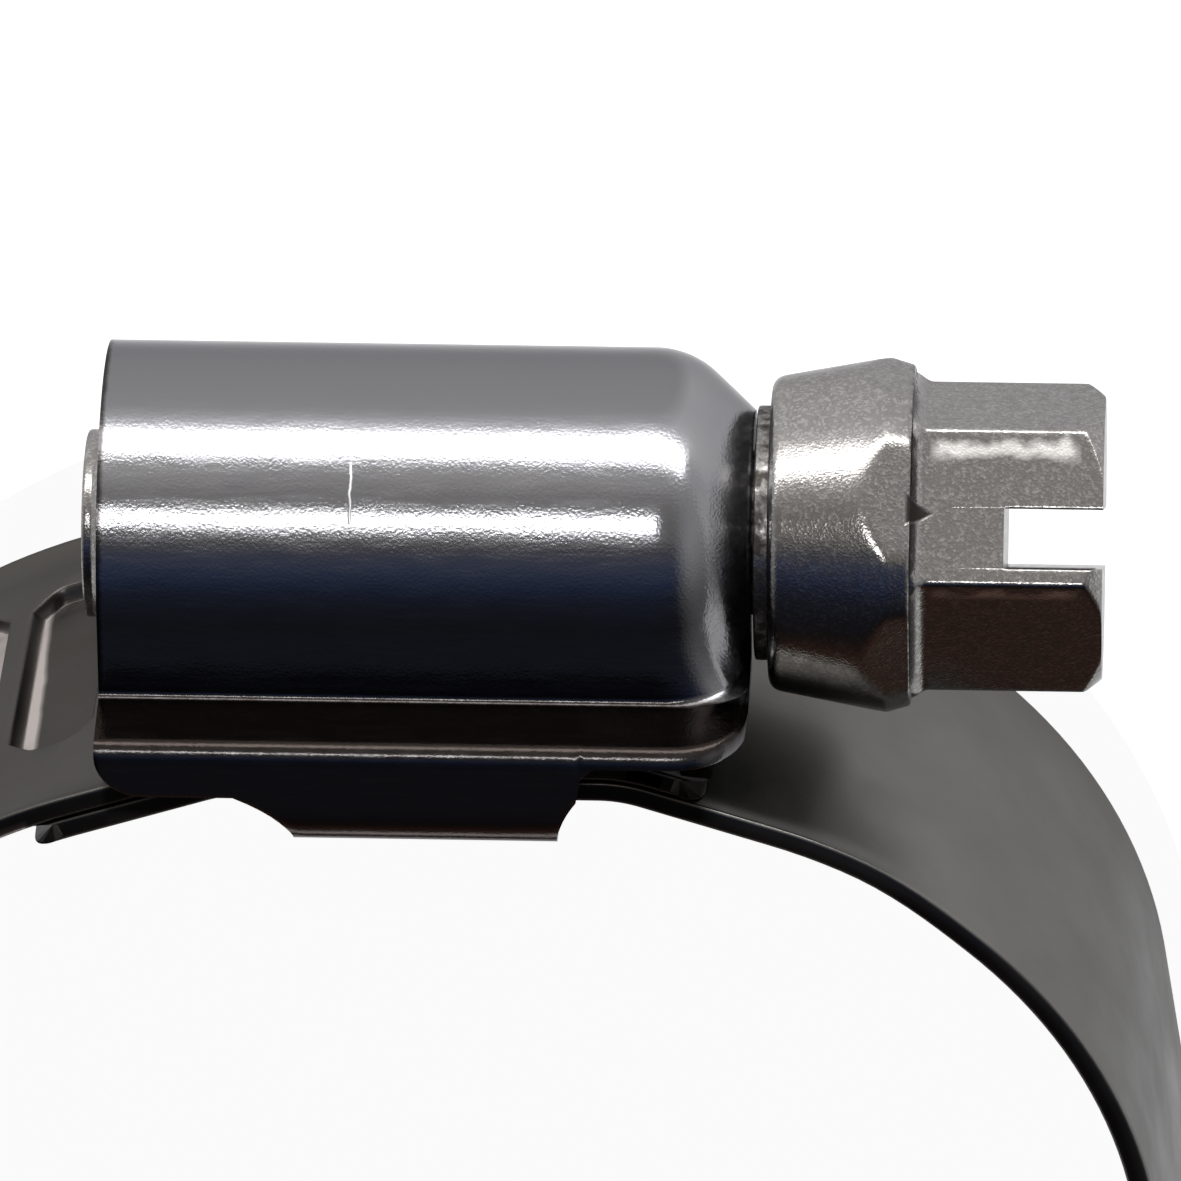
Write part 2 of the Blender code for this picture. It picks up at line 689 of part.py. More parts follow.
def head_die():
    """Return the six-sided form that shapes the collar's facets and the hexagon."""
    bm = bmesh.new()
    collar_end = HOUSING_FRONT + THRUST_GAP + SHOULDER_RING_WIDTH + COLLAR_LENGTH
    reach = 2.0 * TUNNEL_RADIUS
    facet_run = FACET_SHARE * COLLAR_LENGTH
    wide = FACET_DISTANCE + facet_run * math.tan(FACET_ANGLE)
    flat = HEX_ACROSS_FLATS / 2
    step = (FACET_DISTANCE - flat) / 2
    stations = [
        (TIP_END - reach, wide),
        (collar_end - facet_run, wide),
        (collar_end, FACET_DISTANCE),
        (collar_end + HEX_FILLET * 0.15, flat + step * 0.7),
        (collar_end + HEX_FILLET * 0.5, flat + step * 0.2),
        (collar_end + HEX_FILLET, flat),
        (collar_end + HEX_LENGTH + reach, flat),
    ]
    lines = []
    for x, distance in stations:
        corner = distance / math.cos(math.pi / 6)
        ring = [facing(HEX_TURN + math.pi / 3 * (side + 0.5)) * corner for side in range(6)]
        lines.append([bm.verts.new((x, point.y, point.z)) for point in ring])
    add_grid(bm, [line + [line[0]] for line in lines])
    bm.faces.new(lines[0])
    bm.faces.new(lines[-1])
    return mesh_from_bmesh("head_die", bm)


def slot_cutter():
    """Return the block that saws the driver's slot across the head."""
    bm = bmesh.new()
    head_end = HOUSING_FRONT + THRUST_GAP + SHOULDER_RING_WIDTH + COLLAR_LENGTH + HEX_LENGTH
    along = facing(SLOT_TURN) * HEX_ACROSS_FLATS
    aside = facing(SLOT_TURN + math.pi / 2) * SLOT_WIDTH / 2
    lines = []
    for x in (head_end - SLOT_DEPTH, head_end + SLOT_DEPTH):
        ring = [along + aside, along - aside, -along - aside, -along + aside]
        lines.append([bm.verts.new((x, point.y, point.z)) for point in ring])
    add_grid(bm, [line + [line[0]] for line in lines])
    bm.faces.new(lines[0])
    bm.faces.new(lines[1])
    return mesh_from_bmesh("slot_cutter", bm)


def build_screw(material, parent):
    """Make the screw: pilot tip, worm, neck, collar, hexagon head and slot."""
    screw = add_object("screw", screw_blank(), material, parent)
    tools = []
    for name, mesh_data, operation in (
        ("head_die", head_die(), "INTERSECT"),
        ("slot_cutter", slot_cutter(), "DIFFERENCE"),
    ):
        tool = bpy.data.objects.new(name, mesh_data)
        bpy.context.scene.collection.objects.link(tool)
        tool.parent = parent
        tool.hide_render = True
        tool.display_type = "WIRE"
        cut = screw.modifiers.new(name, "BOOLEAN")
        cut.operation = operation
        cut.solver = "EXACT"
        cut.object = tool
        tools.append(tool)
    bake_modifiers(screw)
    for tool in tools:
        bpy.data.objects.remove(tool)
    return screw


def place_on_side(root, pieces):
    """Set the pieces' middle over the origin, with their lowest side on z = 0."""
    bpy.context.view_layer.update()
    corners = [piece.matrix_world @ vertex.co for piece in pieces for vertex in piece.data.vertices]
    lowest = [min(corner[axis] for corner in corners) for axis in range(3)]
    highest = [max(corner[axis] for corner in corners) for axis in range(3)]
    root.location = (-(lowest[0] + highest[0]) / 2, -(lowest[1] + highest[1]) / 2, -lowest[2])


def main():
    """Build the clamp in an empty scene."""
    for old in list(bpy.data.objects):
        bpy.data.objects.remove(old)
    root = bpy.data.objects.new("clamp", None)
    bpy.context.scene.collection.objects.link(root)
    pieces = [
        build_housing(steel("polished_steel", POLISHED_STEEL, 0.18), root),
        build_band(steel("strip_steel", STRIP_STEEL, 0.42), root),
        build_screw(steel("plated_steel", PLATED_STEEL, 0.25), root),
    ]
    place_on_side(root, pieces)


main()
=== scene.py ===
"""Looks of a worm drive hose clamp, laid out as a Blender add-on.

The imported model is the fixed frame. Three finely made pieces stand for its
three solids: the pressed housing, the rolled strip and the headed screw. The
shapes are drawn in the clamp's own design frame, in which the screw's axis is
at y = 0 and z = 0, and are then carried to the frame. Lengths are in metres.
"""

import math
from functools import partial

import bmesh
import bpy
from bpy.props import FloatProperty, IntProperty, PointerProperty, StringProperty
from bpy.types import Operator, Panel, PropertyGroup
from mathutils import Matrix, Vector


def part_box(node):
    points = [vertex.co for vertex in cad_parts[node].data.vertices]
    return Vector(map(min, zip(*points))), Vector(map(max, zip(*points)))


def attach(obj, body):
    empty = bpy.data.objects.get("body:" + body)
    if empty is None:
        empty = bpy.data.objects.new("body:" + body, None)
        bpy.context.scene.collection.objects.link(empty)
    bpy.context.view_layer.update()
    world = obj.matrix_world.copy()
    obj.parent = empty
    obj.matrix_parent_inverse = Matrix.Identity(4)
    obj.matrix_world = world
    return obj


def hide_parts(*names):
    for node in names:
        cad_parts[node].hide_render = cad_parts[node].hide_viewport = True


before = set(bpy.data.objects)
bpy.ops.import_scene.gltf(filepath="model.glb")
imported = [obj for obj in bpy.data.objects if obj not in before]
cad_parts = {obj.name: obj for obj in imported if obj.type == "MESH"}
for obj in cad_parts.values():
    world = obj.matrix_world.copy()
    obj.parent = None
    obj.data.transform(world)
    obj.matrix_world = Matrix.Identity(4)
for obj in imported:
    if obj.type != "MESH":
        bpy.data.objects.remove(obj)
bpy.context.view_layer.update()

bl_info = {
    "name": "Worm Drive Hose Clamp",
    "version": (1, 0, 0),
    "blender": (4, 5, 0),
    "location": "View3D > Sidebar > Hose Clamp",
    "description": "Makes the pieces, finishes and studio of a worm drive hose clamp",
    "category": "Object",
}

# Ring, measured on the strip's inner face
SADDLE_MIDDLE = 0.00056
SADDLE_HALF_LENGTH = 0.00445
SADDLE_BEND_RADIUS = 0.0030
SADDLE_ANGLE = math.radians(19.0)
SHOULDER_RADIUS = 0.0142
FLANK_ANGLE = math.radians(82.0)
FLANK_LENGTH = 0.0060

# Edges of the strip, which are rolled up a little beside the housing
EDGE_LIFT = 0.0002
EDGE_WIDTH = 0.0010
EDGE_ROUND = 0.00012
EDGE_ARC_STEPS = 4
EDGE_FADE_START = 0.0110
EDGE_FADE_END = 0.0150
END_CORNER_RADIUS = 0.0010

# Thread pockets and worm
MESH_POSITION = -0.0005
POCKET_WALL = 0.00028
POCKET_NEAR_MARGIN = 0.0029
POCKET_FAR_MARGIN = 0.00185
POCKET_CORNER = 0.0007
POCKET_SLANT = math.radians(2.0)
WORM_RADIUS = 0.00355
WORM_ROOT_RADIUS = 0.00295
WORM_CREST = 0.0006
WORM_BASE = 0.0012
WORM_START = -0.0074
WORM_END = 0.0068
WORM_RUNOUT = 0.0012
WORM_ENGAGEMENT = 0.00035
THREAD_SUNK = 0.0003
THREAD_ROUND = 0.00012
LAYER_GAP = 0.00004
LUG_GAP = 0.00003

# Screw
TIP_END = -0.00825
TIP_RADIUS = 0.0024
TIP_CHAMFER = 0.00035
THRUST_RADIUS = 0.0026
NECK_RADIUS = 0.0021
NECK_GAP = 0.00025
THRUST_GAP = 0.00006
SHOULDER_RING_RADIUS = 0.00325
SHOULDER_RING_WIDTH = 0.00036
COLLAR_FRONT_RADIUS = 0.00402
COLLAR_REAR_RADIUS = 0.00454
COLLAR_LENGTH = 0.00362
COLLAR_LAND = 0.0006
COLLAR_REAR_DROP = 0.00018
FACET_DISTANCE = 0.0041
FACET_ANGLE = math.radians(15.5)
FACET_SHARE = 0.8
HEX_LENGTH = 0.00488
HEX_BLANK_RADIUS = 0.0042
HEX_FILLET = 0.0005
HEX_CHAMFER = 0.00045
HEX_TURN = math.radians(46.6)
SLOT_TURN = math.radians(33.6)
EDGE_SOFTNESS = 150.0
SLOT_ROUND = 0.00005
SHAFT_ROUND = 0.0001
RING_ROUND = 0.00008
COLLAR_ROUNDS = (0.0004, 0.0003, 0.00018)
PRONG_ROUND = 0.00012
PRONG_FACE_EDGE = 0.0003
STEP_GAP = 0.00004

# Housing
FLANK_SPREAD = 0.00015
FLANK_DEPTH = 0.0020
CREASE_RADIUS = 0.0002
FLANGE_DROP = 0.0001
HOUSING_HALF_WIDTH = 0.0070
BEND_RADIUS = 0.0010
FLANGE_EDGE_RADIUS = 0.00045
HOUSING_REAR = -0.0077
HOUSING_FRONT = 0.00881
DOME_RADIUS = 0.0023
DOME_ANGLE = math.radians(43.0)
DOME_RIM_RADIUS = 0.00314
FLANGE_CORNER_RADIUS = 0.0019
SKIRT_DEPTH_REAR = 0.0036
SKIRT_DEPTH_FRONT = 0.00255
SKIRT_FRONT_STEP = 0.35
REAR_CORNER_RADIUS = 0.0012
LUG_REAR = -0.0027
LUG_FRONT = 0.0040
LUG_REAR_FLARE = 0.0015
LUG_FRONT_FLARE = 0.0005
LUG_TAPER = 1.6
LUG_EDGE = 0.0022
RIM_ROUND = 0.00007

# Fineness of the visible shapes
WALL_SHARES = (0.0, 0.12, 0.3, 0.5, 0.7, 0.88, 1.0)
END_SHARES = (0.0, 0.02, 0.05, 0.1, 0.17, 0.26, 0.37, 0.5, 0.7, 1.0)
STRIP_STEP = 0.0005
STRIP_FINE_STEP = 0.00016
SLANT_RUN = 0.005
PATH_STEP = 0.0001
WELD = 0.000002
COLLAR_STEP = 0.00008
FILLET_STEP = 0.00006
SLOT_EDGE_TURN = 0.006
ARCH_SEGMENTS = 44
CREASE_SEGMENTS = 8
BEND_SEGMENTS = 12
DOME_SEGMENTS = 16
LUG_COLUMNS = 24
PRONG_COLUMNS = 168
OPENING_COLUMNS = 22
THREAD_STEPS_PER_TURN = 72

# Steel at a grazing angle: the oxide on it keeps it from turning to a white mirror
EDGE_TINT = (0.55, 0.55, 0.56, 1.0)

# Tints that lie over the steels' own colours, as sRGB hex values
SHEET_CLOUDS = "75757a"
# Painted shade on the tunnel's crown
SHEET_CROWN_PAINTED_SHADE = "6c6c6e"
# Painted brownish shade towards the lugs' lower edge
SHEET_LUG_PAINTED_SHADE = "5c4538"
SHEET_SCRATCH = "e8e8e8"
STRIP_STAINS = "63615e"
# Painted reflection on the floors of the pockets beyond the housing
STRIP_PAINTED_REFLECTION = "aaa29e"
PLATING_DULL = "686562"
PLATING_SPARKLE = "d8d6d4"
# Painted highlight beside the edges of two faces of the hexagon
PLATING_PAINTED_HIGHLIGHT = "f8f6f4"

# A pattern's stretch where it is the same in all directions, and a glow's colour
EVEN = (1.0, 1.0, 1.0)
WHITE = (1.0, 1.0, 1.0, 1.0)

# Camera, fitted to the photograph: where the axis point falls, and the way that it looks
PHOTO_SIZE = 1181
PIXELS_PER_METRE = 39150.0
CAMERA_DISTANCE = 0.420
CAMERA_TILT = math.radians(34.6)
CAMERA_SWING = math.radians(3.0)
CAMERA_ROLL = math.radians(0.84)
AXIS_PIXEL = (410.0, 527.5)
SENSOR = 36.0

# Studio: the floor curves up into a low wall, and two lamps draw the bright lines on the steel
FLOOR_RADII = (0.02, 0.1, 0.5, 2.6)
FLOOR_CURVE = 0.4
WALL_HEIGHT = 0.6
FLOOR_TURNS = 96
BACK_LAMP_DISTANCE = 0.060
BACK_LAMP_HEIGHT = 0.0121
BACK_LAMP_SIZE = (0.110, 0.020)
LINE_LAMP_OFFSET = (0.0, 0.184, 0.237)
LINE_LAMP_SIZE = (0.120, 0.036)

# How bright the room is, by the angle from straight up towards +Y, in degrees
ROOM = [
    (-180.0, "8a8a8a"), (-110.0, "d0d0d0"), (-88.0, "b8b8b8"), (-72.0, "4a4440"), (-62.0, "452f27"), (-48.0, "241f1f"),
    (-34.0, "1f1f24"), (-12.0, "262a36"), (-3.0, "2e3853"), (8.0, "464f68"), (17.0, "56596a"), (21.0, "58585c"),
    (27.0, "8a8886"), (47.0, "979593"), (55.0, "aaa8a6"), (60.0, "c0bebc"), (72.0, "d8d6d4"), (82.0, "e8e8e8"),
    (92.0, "ffffff"), (120.0, "bbbbbb"), (180.0, "8a8a8a"),
]


def length(name, description, default):
    """Return a property that holds a length."""
    return FloatProperty(name=name, description=description, default=default, unit="LENGTH")


def hex_colour(name, description, default):
    """Return a property that holds a colour."""
    return StringProperty(name=name, description=description + ", as an sRGB hex value", default=default)


class HoseClampStrip(PropertyGroup):
    """Sizes of the strip."""

    width: length("Width", "Width of the strip", 0.0120)
    thickness: length("Thickness", "Thickness of the strip", 0.0006)
    ring_radius: length("Ring radius", "Inner radius of the ring's lower half", 0.01919)
    tongue_reach: length("Tongue reach", "From the saddle's middle to the fixed end", 0.0103)
    tail_reach: length("Tail reach", "From the saddle's middle to the hidden end", 0.0072)
    pitch: length("Pitch", "Distance between two thread pockets", 0.0028)
    pockets: IntProperty(name="Pockets", description="Number of thread pockets", default=16, min=1)
    pocket_length: length("Pocket length", "Length of a pocket along the strip", 0.0023)
    pocket_depth: length("Pocket depth", "Depth to which a pocket is pressed", 0.00042)


class HoseClampHousing(PropertyGroup):
    """Sizes of the housing."""

    wall: length("Wall", "Thickness of the sheet", 0.0008)
    tunnel_radius: length("Tunnel radius", "Outer radius of the tunnel over the screw", 0.0047)


class HoseClampScrew(PropertyGroup):
    """Sizes of the screw."""

    across_flats: length("Across flats", "Width of the hexagon across its flats", 0.0070)
    slot_width: length("Slot width", "Width of the driver's slot", 0.00152)
    slot_depth: length("Slot depth", "Depth of the driver's slot", 0.0025)


class HoseClampFinish(PropertyGroup):
    """Colours of the steels."""

    sheet: hex_colour("Sheet", "Colour of the polished sheet", "808082")
    strip: hex_colour("Strip", "Colour of the rolled strip", "686764")
    plating: hex_colour("Plating", "Colour of the plated screw", "7f7d7b")
    # Also the colour of the painted shade in the housing's crease and rear rim, and on the strip under and beside the
    # housing and in the first pocket
    grime_and_shade: hex_colour("Grime", "Colour of dried dirt in corners", "1c1510")


class HoseClampStudio(PropertyGroup):
    """Light and floor of the studio."""

    floor: hex_colour("Floor", "Colour of the floor", "c4c4c4")
    back_light: FloatProperty(
        name="Back light", description="Power of the low lamp behind the clamp", default=0.050, unit="POWER")
    line_light: FloatProperty(
        name="Line light", description="Power of the narrow lamp above", default=0.18, unit="POWER")
    side_light: FloatProperty(name="Side light", description="Radiance of the bright sides of the room", default=0.8)


# Small helpers


def smooth(value):
    """Ease from 0 to 1 as value goes from 0 to 1."""
    value = min(max(value, 0.0), 1.0)
    return value * value * (3.0 - 2.0 * value)


def linear(colour):
    """Return an sRGB hex colour as linear red, green, blue and alpha."""
    parts = [int(colour[place:place + 2], 16) / 255.0 for place in (0, 2, 4)]
    return tuple(part / 12.92 if part <= 0.04045 else ((part + 0.055) / 1.055) ** 2.4 for part in parts) + (1.0,)


def axis_origin():
    """Return the point of the frame at which the design frame has its origin."""
    screw_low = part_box("screw")[0]
    low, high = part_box("housing")
    radius = bpy.context.scene.hose_clamp_housing.tunnel_radius
    return Vector((screw_low[0] - TIP_END, high[1] - radius, (low[2] + high[2]) / 2))


def add_grid(bm, rows):
    """Add a quad between each two neighbours in rows of vertices."""
    for lower, upper in zip(rows, rows[1:]):
        for index in range(len(lower) - 1):
            bm.faces.new((lower[index], lower[index + 1], upper[index + 1], upper[index]))


def add_piece(name, bm, outward=True):
    """Turn the bmesh into a linked object, with its faces turned outwards."""
    if outward:
        bmesh.ops.recalc_face_normals(bm, faces=bm.faces)
    mesh = bpy.data.meshes.new(name)
    bm.to_mesh(mesh)
    bm.free()
    piece = bpy.data.objects.new(name, mesh)
    bpy.context.scene.collection.objects.link(piece)
    return piece


def bake(piece):
    """Replace the piece's mesh by what its modifiers make of it, and drop them."""
    bpy.context.view_layer.update()
    depsgraph = bpy.context.evaluated_depsgraph_get()
    mesh = bpy.data.meshes.new_from_object(piece.evaluated_get(depsgraph))
    piece.modifiers.clear()
    piece.data = mesh


def finish_piece(piece, material, node, body, angle):
    """Carry the piece to the frame, shade it, and let it stand for a solid."""
    mesh = piece.data
    mesh.transform(Matrix.Translation(axis_origin()))
    bm = bmesh.new()
    bm.from_mesh(mesh)
    bmesh.ops.recalc_face_normals(bm, faces=bm.faces)
    bm.to_mesh(mesh)
    bm.free()
    mesh.materials.clear()
    mesh.materials.append(material)
    mesh.shade_smooth()
    mesh.set_sharp_from_angle(angle=math.radians(angle))
    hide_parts(node)
    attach(piece, body)


def feed(node, values):
    """Set the node's inputs, or link them from sockets or from the first outputs of nodes."""
    for key, value in values.items():
        for source in value if isinstance(value, list) else [value]:
            if isinstance(source, bpy.types.bpy_prop_collection):
                source = next(socket for socket in source if socket.enabled)
            if isinstance(source, bpy.types.NodeSocket):
                node.id_data.links.new(source, node.inputs[key])
            else:
                node.inputs[key].default_value = source


def add_node(tree, kind, *values, inputs=None, **settings):
    """Add a node with its settings and links, and return its outputs.

    Values go to the inputs in use in their order, and the others by name. A kind
    in capitals is a Math node's operation, and a shader node needs no prefix.
    """
    if kind.isupper():
        kind, settings = "Math", {"operation": kind}
    node = tree.nodes.new(kind if kind.startswith(("Geometry", "NodeGroup")) else "ShaderNode" + kind)
    for name, value in settings.items():
        setattr(node, name, value)
    in_use = [place for place, socket in enumerate(node.inputs) if socket.enabled]
    feed(node, dict(zip(in_use, values)))
    feed(node, inputs or {})
    return node.outputs


def shape_tree(name, sockets):
    """Start a geometry tree with the named inputs, and return it with the way to add to it and its inputs."""
    tree = bpy.data.node_groups.new(name, "GeometryNodeTree")
    tree.is_modifier = True
    tree.interface.new_socket("Geometry", in_out="OUTPUT", socket_type="NodeSocketGeometry")
    for kind, labels in {"Geometry": ("Geometry",), **sockets, "Material": ("Material",)}.items():
        for label in labels:
            tree.interface.new_socket(label, in_out="INPUT", socket_type="NodeSocket" + kind)
    add = partial(add_node, tree)
    return tree, add, add("NodeGroupInput")


def end_tree(add, geometry, material):
    """End a geometry tree in real, finished geometry."""
    add("NodeGroupOutput", add("GeometryNodeSetMaterial", inputs={
        "Geometry": add("GeometryNodeRealizeInstances", geometry), "Material": material}))


def apply_tree(piece, tree, values):
    """Put the tree on the piece, set its inputs by identifier, and bake it."""
    modifier = piece.modifiers.new(tree.name, "NODES")
    modifier.node_group = tree
    identifiers = {item.name: item.identifier for item in tree.interface.items_tree if item.in_out == "INPUT"}
    for label, value in values.items():
        modifier[identifiers[label]] = value
    bake(piece)


# The ring's path


def ring_segments(strip):
    """Return the half loop from the saddle's middle down, as lengths and curvatures."""
    bend = SADDLE_BEND_RADIUS * math.sin(SADDLE_ANGLE)
    shoulder = SHOULDER_RADIUS * (math.sin(FLANK_ANGLE) - math.sin(SADDLE_ANGLE))
    flank = FLANK_LENGTH * math.cos(FLANK_ANGLE)
    straight = strip.ring_radius * math.sin(FLANK_ANGLE) - SADDLE_HALF_LENGTH - bend - shoulder - flank
    return [
        (SADDLE_HALF_LENGTH, 0.0),
        (SADDLE_BEND_RADIUS * SADDLE_ANGLE, 1.0 / SADDLE_BEND_RADIUS),
        (straight / math.cos(SADDLE_ANGLE), 0.0),
        (SHOULDER_RADIUS * (FLANK_ANGLE - SADDLE_ANGLE), 1.0 / SHOULDER_RADIUS),
        (FLANK_LENGTH, 0.0),
        (strip.ring_radius * (math.pi - FLANK_ANGLE), 1.0 / strip.ring_radius),
    ]


def saddle_height(strip):
    """Return the height of the strip's inner face in the saddle."""
    return -(WORM_RADIUS - WORM_ENGAGEMENT) - 2.0 * strip.thickness - LAYER_GAP


def loop_point(segments, height, distance):
    """Return the place at a distance along the loop, which runs clockwise seen from above."""
    half = sum(length for length, curvature in segments)
    lap = (distance + half) % (2.0 * half) - half
    x, y, angle, left = 0.0, height, 0.0, abs(lap)
    for length, curvature in segments:
        step = min(left, length)
        turned = angle + step * curvature
        if curvature:
            x += (math.sin(turned) - math.sin(angle)) / curvature
            y -= (math.cos(angle) - math.cos(turned)) / curvature
        else:
            x += step * math.cos(angle)
            y -= step * math.sin(angle)
        angle = turned
        left -= step
        if left <= 0.0:
            break
    return Vector((SADDLE_MIDDLE + math.copysign(x, lap), y, 0.0))


# The strip: a flat blank with one pocket as a cell, rolled round the ring


def strip_section(strip):
    """Return the blank's closed outline across, as places, heights and pocket shares."""
    edge = strip.width / 2
    near = edge - POCKET_NEAR_MARGIN
    far = -edge + POCKET_FAR_MARGIN
    insets = (EDGE_ROUND, 0.0002, 0.0003, 0.00042, 0.00056, 0.00072, 0.00088, EDGE_WIDTH, 0.0014, 0.0020)
    outer = [edge - inset for inset in insets]
    mirrored = [-place for place in reversed(outer)]
    places = outer + [near - POCKET_WALL * share for share in WALL_SHARES]
    places += [near - POCKET_CORNER, near - POCKET_CORNER * 1.8, 0.001, 0.0]
    places += [far + POCKET_CORNER * 1.8, far + POCKET_CORNER]
    places += [far + POCKET_WALL * share for share in reversed(WALL_SHARES)]
    places += [place for place in mirrored if place < far]
    section = [(place, strip.thickness, pocket_share(strip, place)) for place in places]
    arc = []
    for step in range(EDGE_ARC_STEPS + 1):
        angle = math.pi / 2 * step / EDGE_ARC_STEPS
        arc.append((EDGE_ROUND * (1.0 - math.sin(angle)), EDGE_ROUND * (1.0 - math.cos(angle))))
    section += [(inset - edge, strip.thickness - drop, 0.0) for inset, drop in arc[1:]]
    section += [(inset - edge, drop, 0.0) for inset, drop in reversed(arc)]
    bottom = mirrored[1:] + [share * edge for share in (-0.4, -0.1, 0.2, 0.45)] + list(reversed(outer[1:]))
    section += [(place, 0.0, 0.0) for place in bottom]
    section += [(edge - inset, drop, 0.0) for inset, drop in arc]
    return section + [(edge - inset, strip.thickness - drop, 0.0) for inset, drop in reversed(arc[1:])]


def pocket_depth_in(strip, across):
    """Return how far inside the pocket's sides a row across the strip is."""
    return min(strip.width / 2 - POCKET_NEAR_MARGIN - across, across + strip.width / 2 - POCKET_FAR_MARGIN)


def pocket_share(strip, across):
    """Return how much of a pocket's depth a row across the strip has."""
    return smooth(pocket_depth_in(strip, across) / POCKET_WALL)


def corner_cut(strip, across):
    """Return how far a pocket's end is drawn in at its cut corners."""
    return max(POCKET_CORNER - max(pocket_depth_in(strip, across), 0.0), 0.0)


def edge_lift(strip, across, fade):
    """Return how far the strip's edge is rolled up."""
    past = max(abs(across) - (strip.width / 2 - EDGE_WIDTH), 0.0)
    return EDGE_LIFT * (past / EDGE_WIDTH) ** 2 * fade


def pocket_cell(strip, section):
    """Make one pitch of the flat strip, with its pocket, as an open length."""
    bm = bmesh.new()
    half = strip.pocket_length / 2
    rising = [(-strip.pitch / 2, 0.0), (-(strip.pitch / 2 + half) / 2, 0.5)]
    rising += [(-half + POCKET_WALL * share, 1.0) for share in WALL_SHARES] + [(-half / 3, 1.0 / 3)]
    stations = rising + [(0.0, 0.0)] + [(-place, -corner) for place, corner in reversed(rising)]
    lines = []
    for place, corner in stations:
        sunk = smooth((half - abs(place)) / POCKET_WALL) * strip.pocket_depth
        line = []
        for across, height, share in section:
            distance = place + corner * corner_cut(strip, across) - math.tan(POCKET_SLANT) * across
            lift = edge_lift(strip, across, 1.0)
            line.append(bm.verts.new((distance, across, height + lift - sunk * share)))
        lines.append(line + [line[0]])
    add_grid(bm, lines)
    return add_piece("pocket_cell", bm, outward=False)


def end_inset(strip, across):
    """Return how far the rounded corners draw in the strip's end."""
    past = abs(across) - (strip.width / 2 - END_CORNER_RADIUS)
    past = min(max(past, 0.0), END_CORNER_RADIUS)
    return END_CORNER_RADIUS - math.sqrt(END_CORNER_RADIUS ** 2 - past ** 2)


def plain_lengths(strip, section, segments, first_edge, last_edge):
    """Make the plain lengths of the flat strip before and behind the pockets."""
    bm = bmesh.new()
    half = sum(length for length, curvature in segments)
    side = half - segments[-1][0]
    start, end = -strip.tongue_reach, 2.0 * half + strip.tail_reach
    corner = 2.0 * END_CORNER_RADIUS
    near_end = [corner * share for share in END_SHARES]
    stations = [start + step for step in near_end]
    place = stations[-1]
    while place < first_edge - 1.4 * STRIP_STEP:
        in_bend = abs(abs(place) - SADDLE_HALF_LENGTH - STRIP_STEP) < 1.8 * STRIP_STEP
        place += STRIP_FINE_STEP if in_bend else STRIP_STEP
        stations.append(place)
    stations.append(first_edge)
    tail = [last_edge + (end - corner - last_edge) * step / 4 for step in range(5)]
    tail += [end - step for step in reversed(near_end[:-1])]
    for group, open_end, sign in ((stations, first_edge, 1.0), (tail, last_edge, -1.0)):
        lines = []
        for place in group:
            slant = 1.0 - smooth((open_end - place) * sign / SLANT_RUN)
            if place < half:
                fade = 1.0 - smooth((place - EDGE_FADE_START) / (EDGE_FADE_END - EDGE_FADE_START))
            else:
                fade = smooth((place - half) / (side / 2))
            from_start = 1.0 - smooth((place - start) / corner)
            from_end = 1.0 - smooth((end - place) / corner)
            line = []
            for across, height, share in section:
                inset = end_inset(strip, across)
                distance = place - math.tan(POCKET_SLANT) * across * slant + inset * (from_start - from_end)
                line.append(bm.verts.new((distance, across, height + edge_lift(strip, across, fade))))
            lines.append(line + [line[0]])
        add_grid(bm, lines)
        cap = lines[0] if sign > 0.0 else lines[-1]
        bm.faces.new(cap[:-1])
    return add_piece("strip", bm, outward=False)


def path_edges(strip, segments, start, end):
    """Make the ring's path as a chain of short edges."""
    bm = bmesh.new()
    count = math.ceil((end - start) / PATH_STEP)
    height = saddle_height(strip)
    distances = [start + (end - start) * step / count for step in range(count + 1)]
    chain = [bm.verts.new(loop_point(segments, height, distance)) for distance in distances]
    for first, second in zip(chain, chain[1:]):
        bm.edges.new((first, second))
    return add_piece("ring_path", bm, outward=False)


